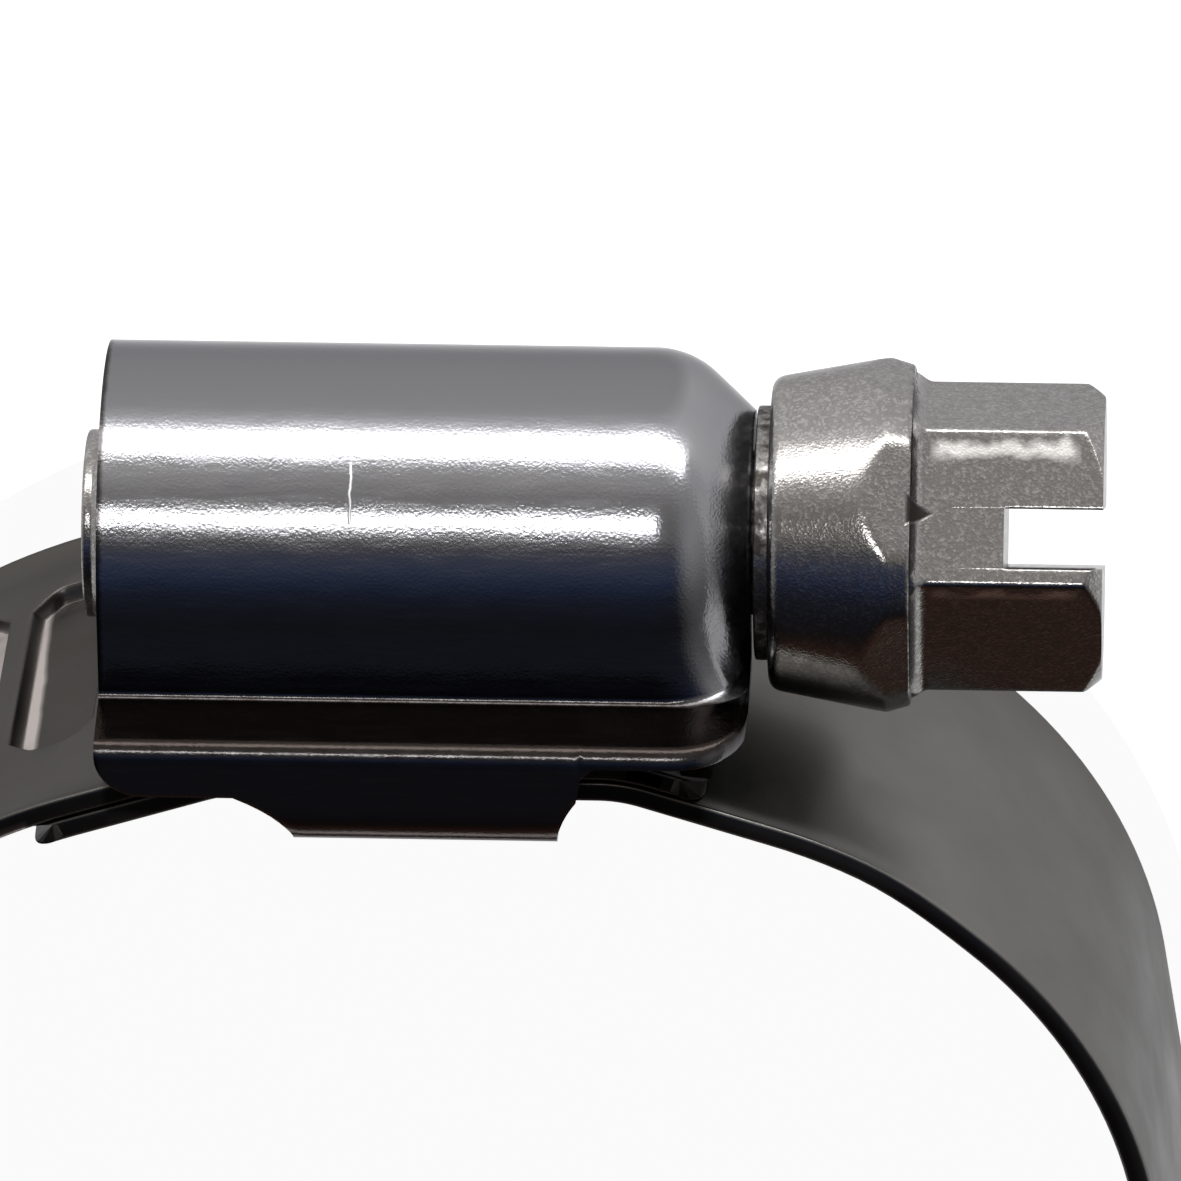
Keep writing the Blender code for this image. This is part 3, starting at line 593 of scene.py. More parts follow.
def rolled_strip_tree():
    """Build the tree that repeats the pockets and rolls the flat strip round the ring."""
    tree, add, source = shape_tree("rolled strip", {
        "Object": ("Pocket", "Path"), "Int": ("Pockets",),
        "Float": ("Pitch", "First", "Path Start", "Rise Start", "Rise End", "Rise")})
    line = add("GeometryNodeMeshLine", inputs={
        "Count": source["Pockets"], "Start Location": add("CombineXYZ", source["First"]),
        "Offset": add("CombineXYZ", source["Pitch"])})
    cell = add("GeometryNodeObjectInfo", inputs={"Object": source["Pocket"]})
    placed = add("GeometryNodeInstanceOnPoints", inputs={"Points": line, "Instance": cell["Geometry"]})
    real = add("GeometryNodeRealizeInstances", placed)
    joined = add("GeometryNodeJoinGeometry", inputs={"Geometry": [source["Geometry"], real]})
    welded = add("GeometryNodeMergeByDistance", inputs={"Geometry": joined, "Distance": WELD})
    flat = add("GeometryNodeInputPosition")
    kept = add("GeometryNodeStoreNamedAttribute", inputs={
        "Geometry": welded, "Name": "flat_strip", "Value": flat}, data_type="FLOAT_VECTOR")
    place = add("SeparateXYZ", flat)
    route = add("GeometryNodeObjectInfo", inputs={"Object": source["Path"]})
    path = add("GeometryNodeMeshToCurve", route["Geometry"])
    spot = add("GeometryNodeSampleCurve", inputs={
        "Curves": path, "Length": add("SUBTRACT", place["X"], source["Path Start"])}, mode="LENGTH")
    rise = add("MapRange", place["X"], source["Rise Start"], source["Rise End"], 0.0, source["Rise"],
               interpolation_type="SMOOTHSTEP")
    outward = add("VectorMath", (0.0, 0.0, 1.0), spot["Tangent"], operation="CROSS_PRODUCT")
    unit = add("VectorMath", outward, operation="NORMALIZE")
    lifted = add("VectorMath", unit, add("ADD", place["Z"], rise), operation="SCALE")
    moved = add("VectorMath", lifted, add("CombineXYZ", inputs={"Z": place["Y"]}), operation="ADD")
    goal = add("VectorMath", spot["Position"], moved, operation="ADD")
    end_tree(add, add("GeometryNodeSetPosition", inputs={"Geometry": kept, "Position": goal}), source["Material"])
    return tree


def build_strip(strip, material):
    """Make the strip: tongue, saddle, ring, threaded lap and hidden tail."""
    segments = ring_segments(strip)
    lap = 2.0 * sum(length for length, curvature in segments)
    side = lap / 2 - segments[-1][0]
    first_thread = MESH_POSITION - SADDLE_MIDDLE
    threaded = strip.tail_reach - END_CORNER_RADIUS - strip.pocket_length / 2 - first_thread
    last = lap + first_thread + strip.pitch * math.floor(threaded / strip.pitch)
    first = last - strip.pitch * (strip.pockets - 1)
    section = strip_section(strip)
    cell = pocket_cell(strip, section)
    piece = plain_lengths(strip, section, segments, first - strip.pitch / 2, last + strip.pitch / 2)
    start = -strip.tongue_reach - strip.thickness
    path = path_edges(strip, segments, start, lap + strip.tail_reach + strip.thickness)
    apply_tree(piece, rolled_strip_tree(), {
        "Pocket": cell, "Path": path, "Pockets": strip.pockets, "Pitch": strip.pitch, "First": first,
        "Path Start": start, "Rise Start": lap - side, "Rise End": lap - strip.tongue_reach - strip.thickness,
        "Rise": strip.thickness + LAYER_GAP, "Material": material})
    for helper in (cell, path):
        bpy.data.objects.remove(helper)
    return piece


# The housing: one pressed sheet


def flange_slope(housing):
    """Return the angle at which the flange falls outwards."""
    return math.atan2(FLANGE_DROP, HOUSING_HALF_WIDTH - housing.tunnel_radius - FLANK_SPREAD)


def flange_bend(housing):
    """Return the centre of the flange's bend and the angle at which it starts."""
    start = math.pi / 2 - flange_slope(housing)
    height = -(FLANK_DEPTH + FLANGE_DROP) - FLANGE_EDGE_RADIUS * math.tan(start / 2)
    return HOUSING_HALF_WIDTH - FLANGE_EDGE_RADIUS, height, start


def arch_profile(housing):
    """Return the half section from the crown down to the flange, as across and height."""
    radius = housing.tunnel_radius
    points = []
    for step in range(ARCH_SEGMENTS + 1):
        angle = math.pi / 2 * (1.0 - step / ARCH_SEGMENTS)
        points.append(Vector((radius * math.cos(angle), radius * math.sin(angle))))
    crease = Vector((radius + FLANK_SPREAD, -FLANK_DEPTH))
    flank_way = (crease - Vector((radius, 0.0))).normalized()
    slope = flange_slope(housing)
    flange_way = Vector((math.cos(slope), -math.sin(slope)))
    reach = CREASE_RADIUS * math.tan(flank_way.angle(flange_way) / 2)
    start, end = crease - flank_way * reach, crease + flange_way * reach
    points += [points[-1].lerp(start, share) for share in (0.25, 0.5, 0.75)]
    for step in range(CREASE_SEGMENTS + 1):
        share = step / CREASE_SEGMENTS
        points.append(start.lerp(crease, share).lerp(crease.lerp(end, share), share))
    return points


def side_path(housing, lug_centre, distance):
    """Return the point at a distance down the side: bend, drop, bend under, run inwards."""
    middle, height, start = flange_bend(housing)
    first = FLANGE_EDGE_RADIUS * start
    if distance <= first:
        angle = start - distance / FLANGE_EDGE_RADIUS
        return Vector((middle + FLANGE_EDGE_RADIUS * math.cos(angle), height + FLANGE_EDGE_RADIUS * math.sin(angle)))
    distance -= first
    drop = height - lug_centre
    if distance <= drop:
        return Vector((HOUSING_HALF_WIDTH, height - distance))
    distance -= drop
    middle = HOUSING_HALF_WIDTH - BEND_RADIUS
    if distance <= BEND_RADIUS * math.pi / 2:
        angle = distance / BEND_RADIUS
        return Vector((middle + BEND_RADIUS * math.cos(angle), lug_centre - BEND_RADIUS * math.sin(angle)))
    distance -= BEND_RADIUS * math.pi / 2
    return Vector((middle - distance, lug_centre - BEND_RADIUS))


def side_distance(housing, depth):
    """Return the distance down the side at which it is this deep."""
    height, start = flange_bend(housing)[1:]
    if -depth > height:
        return FLANGE_EDGE_RADIUS * (start - math.asin(min((-depth - height) / FLANGE_EDGE_RADIUS, 1.0)))
    return FLANGE_EDGE_RADIUS * start + height + depth


def skirt_depth(x):
    """Return how deep the side's lower edge is at a place along the screw."""
    if x < LUG_REAR:
        from_end = max(REAR_CORNER_RADIUS - (x - HOUSING_REAR), 0.0)
        return SKIRT_DEPTH_REAR - REAR_CORNER_RADIUS + math.sqrt(REAR_CORNER_RADIUS ** 2 - from_end ** 2)
    if x <= LUG_FRONT + LUG_FRONT_FLARE:
        return SKIRT_DEPTH_REAR
    past = (x - LUG_FRONT - LUG_FRONT_FLARE) / LUG_FRONT_FLARE
    return SKIRT_DEPTH_FRONT + (SKIRT_DEPTH_REAR - SKIRT_DEPTH_FRONT) * (1.0 - smooth(past)) * SKIRT_FRONT_STEP


def dome_outline(housing):
    """Return the places and radii where the tunnel rounds into the front wall."""
    rounding = DOME_RADIUS * math.tan(DOME_ANGLE / 2)
    cone = (housing.tunnel_radius - DOME_RIM_RADIUS) / math.tan(DOME_ANGLE)
    start = HOUSING_FRONT - cone - rounding
    outline = []
    for step in range(DOME_SEGMENTS + 1):
        angle = DOME_ANGLE * step / DOME_SEGMENTS
        radius = housing.tunnel_radius - DOME_RADIUS * (1.0 - math.cos(angle))
        outline.append((start + DOME_RADIUS * math.sin(angle), radius))
    last_x, last_radius = outline[-1]
    outline += [((last_x + HOUSING_FRONT) / 2, (last_radius + DOME_RIM_RADIUS) / 2)]
    return outline + [(HOUSING_FRONT, DOME_RIM_RADIUS), (HOUSING_FRONT, NECK_RADIUS + NECK_GAP)]


def flange_outline():
    """Return the places where the flange's plan rounds into the front wall."""
    outline = []
    start = HOUSING_FRONT - FLANGE_CORNER_RADIUS
    for step in range(DOME_SEGMENTS + 1):
        angle = math.pi / 2 * step / DOME_SEGMENTS
        across = HOUSING_HALF_WIDTH - FLANGE_CORNER_RADIUS * (1.0 - math.cos(angle))
        outline.append((start + FLANGE_CORNER_RADIUS * math.sin(angle), across))
    corner = outline[-1][1]
    to_slot = NECK_RADIUS + NECK_GAP - corner
    return outline + [(HOUSING_FRONT, corner + to_slot * share) for share in (0.3, 0.6, 1.0)]


def housing_columns():
    """Return the places along the straight part of the housing, rear to dome."""
    rear = [HOUSING_REAR + REAR_CORNER_RADIUS * (1.0 - math.cos(math.pi / 20 * step)) for step in range(11)]
    lug_start = LUG_REAR - LUG_REAR_FLARE
    lug_end = LUG_FRONT + LUG_FRONT_FLARE
    between = [rear[-1] + (lug_start - rear[-1]) * share for share in (0.33, 0.67)]
    lug = [lug_start + (lug_end - lug_start) * step / LUG_COLUMNS for step in range(LUG_COLUMNS + 1)]
    return rear + between + lug + [lug_end + LUG_FRONT_FLARE * share for share in (0.25, 0.5, 0.75, 1.0)]


def front_line(housing, section, dome_spot, flange_spot):
    """Return one line round the front, drawn in towards the neck's open slot."""
    slot = NECK_RADIUS + NECK_GAP
    flank_end = housing.tunnel_radius + FLANK_SPREAD + CREASE_RADIUS / 2
    kept_dome = (dome_spot[1] - slot) / (housing.tunnel_radius - slot)
    kept_flange = (flange_spot[1] - slot) / (HOUSING_HALF_WIDTH - slot)
    points, places = [], []
    for point in section:
        goal = Vector((slot, point.y)) if point.y < 0.0 else point.normalized() * slot
        share = smooth((point.x - housing.tunnel_radius) / (flank_end - housing.tunnel_radius))
        share = share if point.y < 0.0 else 0.0
        points.append(goal + (point - goal) * (kept_dome + (kept_flange - kept_dome) * share))
        places.append(dome_spot[0] + (flange_spot[0] - dome_spot[0]) * share)
    return points, places


def lug_grid(housing, bm, columns, rows, lug_centre, sign):
    """Add one lug, which bends under the strip and narrows as it goes."""
    lug_start = LUG_REAR - LUG_REAR_FLARE
    lug_end = LUG_FRONT + LUG_FRONT_FLARE
    height, start = flange_bend(housing)[1:]
    first = side_distance(housing, SKIRT_DEPTH_REAR)
    bend_end = FLANGE_EDGE_RADIUS * start + height - lug_centre + BEND_RADIUS * math.pi / 2
    last = bend_end + HOUSING_HALF_WIDTH - BEND_RADIUS - LUG_EDGE
    stops = [first + (bend_end - first) * step / BEND_SEGMENTS for step in range(1, BEND_SEGMENTS + 1)]
    stops += [bend_end + (last - bend_end) / 2, last - LUG_REAR_FLARE / 3, last]
    lines = []
    for x, row in zip(columns, rows):
        if not lug_start - 1e-9 <= x <= lug_end + 1e-9:
            continue
        share = (x - lug_start) / (lug_end - lug_start)
        line = [row[-1]]
        for stop in stops:
            narrowed = 1.0 - (1.0 - min((stop - first) / (bend_end - first) * LUG_TAPER, 1.0)) ** 2
            inset = LUG_FRONT_FLARE if stop == last else 0.0
            left = lug_start + LUG_REAR_FLARE * narrowed + inset
            right = lug_end - LUG_FRONT_FLARE * narrowed - inset
            point = side_path(housing, lug_centre, stop)
            line.append(bm.verts.new((left + (right - left) * share, point.y, sign * point.x)))
        lines.append(line)
    add_grid(bm, lines)


def build_housing(housing, strip):
    """Press the housing: tunnel, flanges, domed front with its slot, and lugs."""
    bm = bmesh.new()
    arch = arch_profile(housing)
    lug_centre = saddle_height(strip) - LUG_GAP - housing.wall + BEND_RADIUS
    columns = housing_columns()

    def section(x):
        """Return the half section at a column, down to its trimmed edge."""
        end = side_distance(housing, skirt_depth(x))
        side = [side_path(housing, lug_centre, end * step / BEND_SEGMENTS) for step in range(BEND_SEGMENTS + 1)]
        return arch + side

    lines = []
    for x in columns:
        points = section(x)
        lines.append((points, [x] * len(points)))
    front = section(HOUSING_FRONT)
    for dome_spot, flange_spot in zip(dome_outline(housing), flange_outline()):
        lines.append(front_line(housing, front, dome_spot, flange_spot))
    crown = [bm.verts.new((places[0], points[0].y, 0.0)) for points, places in lines]
    for sign in (1.0, -1.0):
        rows = []
        for top, (points, places) in zip(crown, lines):
            down = [bm.verts.new((x, point.y, sign * point.x)) for point, x in zip(points[1:], places[1:])]
            rows.append([top] + down)
        add_grid(bm, rows)
        lug_grid(housing, bm, columns, rows, lug_centre, sign)
    piece = add_piece("housing_shell", bm)
    sheet = piece.modifiers.new("Sheet", "SOLIDIFY")
    sheet.thickness = housing.wall
    sheet.offset = -1.0
    sheet.use_even_offset = True
    rim = piece.modifiers.new("Rim", "BEVEL")
    rim.width = RIM_ROUND
    rim.segments = 2
    rim.limit_method = "ANGLE"
    rim.angle_limit = math.radians(50.0)
    bake(piece)
    return piece


# The screw: a turned and headed blank, and its worm


def rounded(corners):
    """Return an outline whose corners are rounded by their own radii."""
    points = [Vector(corners[0][:2])]
    for before, corner, after in zip(corners, corners[1:], corners[2:]):
        spot = Vector(corner[:2])
        back, ahead = Vector(before[:2]) - spot, Vector(after[:2]) - spot
        if not corner[2] or back.length < 1e-9 or ahead.length < 1e-9:
            points.append(spot)
            continue
        turn = math.pi - back.angle(ahead)
        reach = min(corner[2] * math.tan(turn / 2), 0.48 * back.length, 0.48 * ahead.length)
        start, end = spot + back.normalized() * reach, spot + ahead.normalized() * reach
        for step in range(7):
            share = step / 6
            points.append(start.lerp(spot, share).lerp(spot.lerp(end, share), share))
    points.append(Vector(corners[-1][:2]))
    return points


def refined(points, longest):
    """Return the outline with its long runs cut into steps."""
    result = [points[0]]
    for first, second in zip(points, points[1:]):
        count = max(1, math.ceil((second - first).length / longest))
        result += [first.lerp(second, step / count) for step in range(1, count + 1)]
    return result


def head_places():
    """Return where the shoulder ring, the collar, the hexagon and the head's end are."""
    ring_start = HOUSING_FRONT + THRUST_GAP
    collar_start = ring_start + SHOULDER_RING_WIDTH
    collar_end = collar_start + COLLAR_LENGTH
    return ring_start, collar_start, collar_end, collar_end + HEX_LENGTH


def blank_outline(screw, housing):
    """Return the turned outline up to the slot's floor, and on to the head's end."""
    ring_start, collar_start, collar_end, head_end = head_places()
    wall_inside = HOUSING_FRONT - housing.wall
    land = collar_end - COLLAR_LAND
    hex_corner = screw.across_flats / math.sqrt(3.0)
    shaft = rounded([
        (TIP_END, TIP_RADIUS / 3, 0.0), (TIP_END, TIP_RADIUS, TIP_CHAMFER),
        (WORM_START - WORM_CREST, TIP_RADIUS, SHAFT_ROUND), (WORM_START, WORM_ROOT_RADIUS, SHAFT_ROUND),
        (WORM_END, WORM_ROOT_RADIUS, SHAFT_ROUND),
        (WORM_END + WORM_ROOT_RADIUS - THRUST_RADIUS, THRUST_RADIUS, SHAFT_ROUND),
        (wall_inside - THRUST_GAP, THRUST_RADIUS, SHAFT_ROUND), (wall_inside - THRUST_GAP, NECK_RADIUS, 0.0),
        (ring_start, NECK_RADIUS, 0.0), (ring_start, SHOULDER_RING_RADIUS, RING_ROUND),
        (collar_start, SHOULDER_RING_RADIUS, RING_ROUND),
    ])
    collar = rounded([
        (collar_start, SHOULDER_RING_RADIUS, 0.0),
        (collar_start, COLLAR_FRONT_RADIUS - STEP_GAP, COLLAR_ROUNDS[0]), (land, COLLAR_REAR_RADIUS, COLLAR_ROUNDS[1]),
        (collar_end, COLLAR_REAR_RADIUS - COLLAR_REAR_DROP, COLLAR_ROUNDS[2]),
        (collar_end + STEP_GAP, HEX_BLANK_RADIUS, 0.0),
    ])
    floor = head_end - screw.slot_depth
    fillet = [Vector((collar_end + run, HEX_BLANK_RADIUS)) for run in (STEP_GAP, HEX_FILLET)]
    shank = refined(fillet, FILLET_STEP) + [Vector((floor, HEX_BLANK_RADIUS))]
    chamfer_start = head_end - HEX_CHAMFER - (HEX_BLANK_RADIUS - hex_corner)
    prongs = rounded([
        (floor, HEX_BLANK_RADIUS, 0.0), (chamfer_start, HEX_BLANK_RADIUS, 0.0),
        (head_end, hex_corner - HEX_CHAMFER, PRONG_ROUND),
        (head_end, hex_corner - HEX_CHAMFER - PRONG_FACE_EDGE, 0.0),
    ])
    outline = shaft[:-1] + refined(collar, COLLAR_STEP) + shank[1:]
    return outline, refined(prongs, COLLAR_STEP)


def face_distance(screw, x):
    """Return the distance of the six forged faces from the axis at a place."""
    collar_end = head_places()[2]
    flat = screw.across_flats / 2
    if x <= collar_end:
        return FACET_DISTANCE + min(collar_end - x, FACET_SHARE * COLLAR_LENGTH) * math.tan(FACET_ANGLE)
    left = 1.0 - min((x - collar_end) / HEX_FILLET, 1.0)
    return flat + (FACET_DISTANCE - flat) * (1.0 - math.sqrt(1.0 - left ** 2))


def head_radius(screw, x, turned, angle):
    """Return the surface's radius: the turned form cut by the faces, with soft edges."""
    total = 1.0
    distance = face_distance(screw, x)
    if turned < distance * 0.97:
        return turned
    for side in range(6):
        slope = math.cos(angle - HEX_TURN - math.pi / 3 * side)
        if slope > 0.3:
            total += (turned * slope / distance) ** EDGE_SOFTNESS
    return turned * total ** (-1.0 / EDGE_SOFTNESS)


def slot_edges(screw, x, turned):
    """Return the angles at which the slot's walls leave the head, as offsets from the slot."""
    offsets = []
    for middle, way in ((0.0, 1.0), (math.pi, -1.0), (math.pi, 1.0), (2.0 * math.pi, -1.0)):
        offset = 0.0
        for step in range(6):
            radius = head_radius(screw, x, turned, SLOT_TURN + middle + way * offset)
            offset = math.asin(screw.slot_width / 2 / radius)
        offsets.append(middle + way * offset)
    return offsets


def spread(first, last):
    """Return the angles of one prong from first to last, with close steps at both ends."""
    ends = [share * SLOT_EDGE_TURN for share in (0.0, 0.3, 1.0, 2.0)]
    start, run = first + ends[-1], last - first - 2.0 * ends[-1]
    inner = [start + run * step / PRONG_COLUMNS for step in range(1, PRONG_COLUMNS)]
    return [first + end for end in ends] + inner + [last - end for end in reversed(ends)]


def build_screw(screw, housing):
    """Make the screw's turned and headed body with its slot."""
    bm = bmesh.new()
    outline, prongs = blank_outline(screw, housing)

    def vertex(x, turned, angle, wall_gap=1.0):
        """Add one vertex of the surface, drawn in a little at the slot's edge."""
        radius = head_radius(screw, x, turned, angle)
        if wall_gap < SLOT_ROUND:
            radius -= SLOT_ROUND - math.sqrt(SLOT_ROUND ** 2 - (SLOT_ROUND - wall_gap) ** 2)
        return bm.verts.new((x, radius * math.sin(angle), radius * math.cos(angle)))

    floor = prongs[0]
    edges = slot_edges(screw, floor.x, floor.y)
    sides = [spread(edges[0], edges[1]), spread(edges[2], edges[3])]
    gaps = []
    for start, end in ((edges[1], edges[2]), (edges[3], edges[0] + 2.0 * math.pi)):
        gaps.append([start + (end - start) * step / OPENING_COLUMNS for step in range(1, OPENING_COLUMNS)])
    angles = sides[0] + gaps[0] + sides[1] + gaps[1]
    rows = []
    for point in outline:
        line = [vertex(point.x, point.y, SLOT_TURN + angle) for angle in angles]
        rows.append(line + [line[0]])
    add_grid(bm, rows)
    bm.faces.new(rows[0][:-1])
    base = rows[-1][:-1]
    first = len(sides[0])
    second = first + len(gaps[0])
    third = second + len(sides[1])
    prong_bases = (base[:first], base[second:third])
    bm.faces.new(base[first - 1:second + 1] + base[third - 1:] + base[:1])
    for prong_base, (low, high) in zip(prong_bases, ((0, 1), (2, 3))):
        lines = [prong_base]
        for point in prongs[1:]:
            ends = slot_edges(screw, point.x, point.y)
            line = []
            for angle in spread(ends[low], ends[high]):
                radius = head_radius(screw, point.x, point.y, SLOT_TURN + angle)
                gap = abs(radius * math.sin(angle)) - screw.slot_width / 2
                line.append(vertex(point.x, point.y, SLOT_TURN + angle, max(gap, 0.0)))
            lines.append(line)
        add_grid(bm, lines)
        add_grid(bm, [[line[0], line[-1]] for line in lines])
        bm.faces.new(lines[-1])
    return add_piece("drive_screw_body", bm)


def thread_bar(pitch):
    """Make the worm's ridge as a straight bar: turns along X, width on Y, height on Z."""
    bm = bmesh.new()
    first = (WORM_START - MESH_POSITION) / pitch + 0.5
    last = (WORM_END - MESH_POSITION) / pitch + 0.5
    half = [
        (-WORM_BASE / 2, -THREAD_SUNK, 0.0), (-WORM_BASE / 2, 0.0, THREAD_ROUND),
        (-WORM_CREST / 2, WORM_RADIUS - WORM_ROOT_RADIUS, THREAD_ROUND),
    ]
    ridge = rounded(half + [(-across, height, corner) for across, height, corner in reversed(half)])
    count = math.ceil((last - first) * THREAD_STEPS_PER_TURN)
    lines = []
    for step in range(count + 1):
        turn = first + (last - first) * step / count
        line = [bm.verts.new((turn, point.x, point.y)) for point in ridge]
        lines.append(line + [line[0]])
    add_grid(bm, lines)
    for line in (lines[0], lines[-1]):
        bm.faces.new(line[:-1])
    return add_piece("drive_screw_worm", bm, outward=False)


def worm_tree():
    """Build the tree that winds the straight ridge round the screw."""
    tree, add, source = shape_tree("wound worm", {
        "Float": ("Pitch", "Mesh Position", "Root Radius", "Start", "End", "Runout")})
    place = add("SeparateXYZ", add("GeometryNodeInputPosition"))
    turn, across, rise = (place[axis] for axis in "XYZ")
    along = add("MULTIPLY", add("SUBTRACT", turn, 0.5), source["Pitch"])
    along = add("ADD", add("ADD", along, source["Mesh Position"]), across)
    along = add("MINIMUM", add("MAXIMUM", along, source["Start"]), source["End"])
    start_end = add("ADD", source["Start"], source["Runout"])
    end_start = add("SUBTRACT", source["End"], source["Runout"])
    height = add("MAXIMUM", rise, 0.0)
    for fade in ((source["Start"], start_end, 0.0, 1.0), (end_start, source["End"], 1.0, 0.0)):
        height = add("MULTIPLY", height, add("MapRange", along, *fade, interpolation_type="SMOOTHSTEP"))
    radius = add("ADD", source["Root Radius"], add("ADD", height, add("MINIMUM", rise, 0.0)))
    angle = add("MULTIPLY", turn, 2.0 * math.pi)
    goal = add("CombineXYZ", along, *(add("MULTIPLY", radius, add(way, angle)) for way in ("COSINE", "SINE")))
    wound = add("GeometryNodeSetPosition", inputs={"Geometry": source["Geometry"], "Position": goal})
    end_tree(add, wound, source["Material"])
    return tree


# Finishes


def steel(name, colour, roughness):
    """Start a steel: a metal with its colour and its gloss on the shader itself."""
    material = bpy.data.materials.new(name)
    material.use_nodes = True
    shader = material.node_tree.nodes["Principled BSDF"]
    feed(shader, {"Base Color": colour, "Metallic": 1.0, "Specular Tint": EDGE_TINT, "Roughness": roughness})
    return material, shader, partial(add_node, material.node_tree)


def object_place(add):
    """Return the place on the piece in millimetres from the screw's axis point."""
    centred = add("VectorMath", add("TexCoord")["Object"], axis_origin(), operation="SUBTRACT")
    return add("VectorMath", centred, 1000.0, operation="SCALE")


def clouds(add, place, *patterns):
    """Return cloud patterns, each given by its grains to a millimetre, its detail and its stretch."""
    made = []
    for per_mm, detail, stretch in patterns:
        scaled = add("Mapping", inputs={"Vector": place, "Scale": stretch})
        made.append(add("TexNoise", scaled, per_mm, detail))
    return made


def overlap(add, first, *others):
    """Return the mask of what lies in every one of these masks."""
    for other in others:
        first = add("MULTIPLY", first, other)
    return first


def band_mask(add, value, low, high, blur):
    """Return 1 where the value lies between low and high, with soft ends."""
    rising = add("MapRange", value, low - blur, low + blur)
    return add("MULTIPLY", rising, add("MapRange", value, high - blur, high + blur, 1.0, 0.0))


def layered(add, base, *layers):
    """Return the base colour with each layer's colour over it, as far as its mask goes."""
    colour = linear(base)
    for share, tint in layers:
        colour = add("Mix", share, colour, linear(tint), data_type="RGBA")
    return colour


def tilted(add, *patterns):
    """Return a normal that each pattern tilts by its depth in metres."""
    before = {}
    for height, depth in patterns:
        before = {"Normal": add("Bump", inputs={"Height": height, "Distance": depth, **before})}
    return before["Normal"]


def polished_sheet(finish):
    """Polished stainless sheet, pressed: mirror-like, with tumbled grain, handling marks and painted shade.

    The real grain is too fine to show, so it is drawn 0.08 mm wide.
    """
    material, shader, add = steel("polished stainless sheet", linear(finish.sheet), 0.14)
    place = object_place(add)
    parts = add("SeparateXYZ", place)
    grain, swell, marks, waver = clouds(
        add, place, (13.0, 2.0, EVEN), (0.8, 1.0, EVEN), (1.0, 3.0, (0.9, 7.0, 7.0)), (2.5, 2.0, EVEN))
    wobble = add("MULTIPLY", waver, 0.12)
    along = add("SUBTRACT", parts["X"], wobble)
    down = add("ADD", parts["Y"], wobble)
    # One fine scratch across the tunnel's upper side
    scratch = overlap(
        add, band_mask(add, along, -1.36, -1.32, 0.025), band_mask(add, parts["Y"], 2.7, 3.75, 0.1),
        band_mask(add, parts["Z"], 1.0, 9.0, 0.1))
    # Painted shade in the crease, thinner down the flange, and on the rear rim
    painted_shade = add("SUBTRACT", add("MapRange", down, -1.55, -1.95, 0.0, 0.95), add("MapRange", down, -2.1, -2.6, 0.0, 0.7))
    painted_shade = add("MULTIPLY", painted_shade, add("MapRange", add("ABSOLUTE", parts["Z"]), 4.5, 4.8))
    rear = 1000.0 * HOUSING_REAR
    painted_shade = add("MAXIMUM", painted_shade, add("MapRange", along, rear + 0.1, rear, 0.0, 0.8))
    # Painted shade: the crown is drawn a little darker, and the lugs darker and browner towards their lower edge
    upward = add("SeparateXYZ", add("TexCoord")["Normal"])["Y"]
    colour = layered(
        add, finish.sheet, (add("MapRange", swell, 0.35, 0.75, 0.0, 0.35), SHEET_CLOUDS),
        (add("MapRange", upward, 0.90, 0.96), SHEET_CROWN_PAINTED_SHADE), (add("MapRange", down, -3.7, -4.4, 0.0, 0.5), SHEET_LUG_PAINTED_SHADE),
        (painted_shade, finish.grime_and_shade), (scratch, SHEET_SCRATCH))
    rough = add("MapRange", marks, 0.4, 0.75, 0.14, 0.22)
    feed(shader, {
        "Base Color": colour, "Roughness": add("ADD", rough, add("MULTIPLY", scratch, 0.3)),
        "Normal": tilted(add, (swell, 0.000012), (grain, 0.000005), (scratch, 0.00001))})
    return material


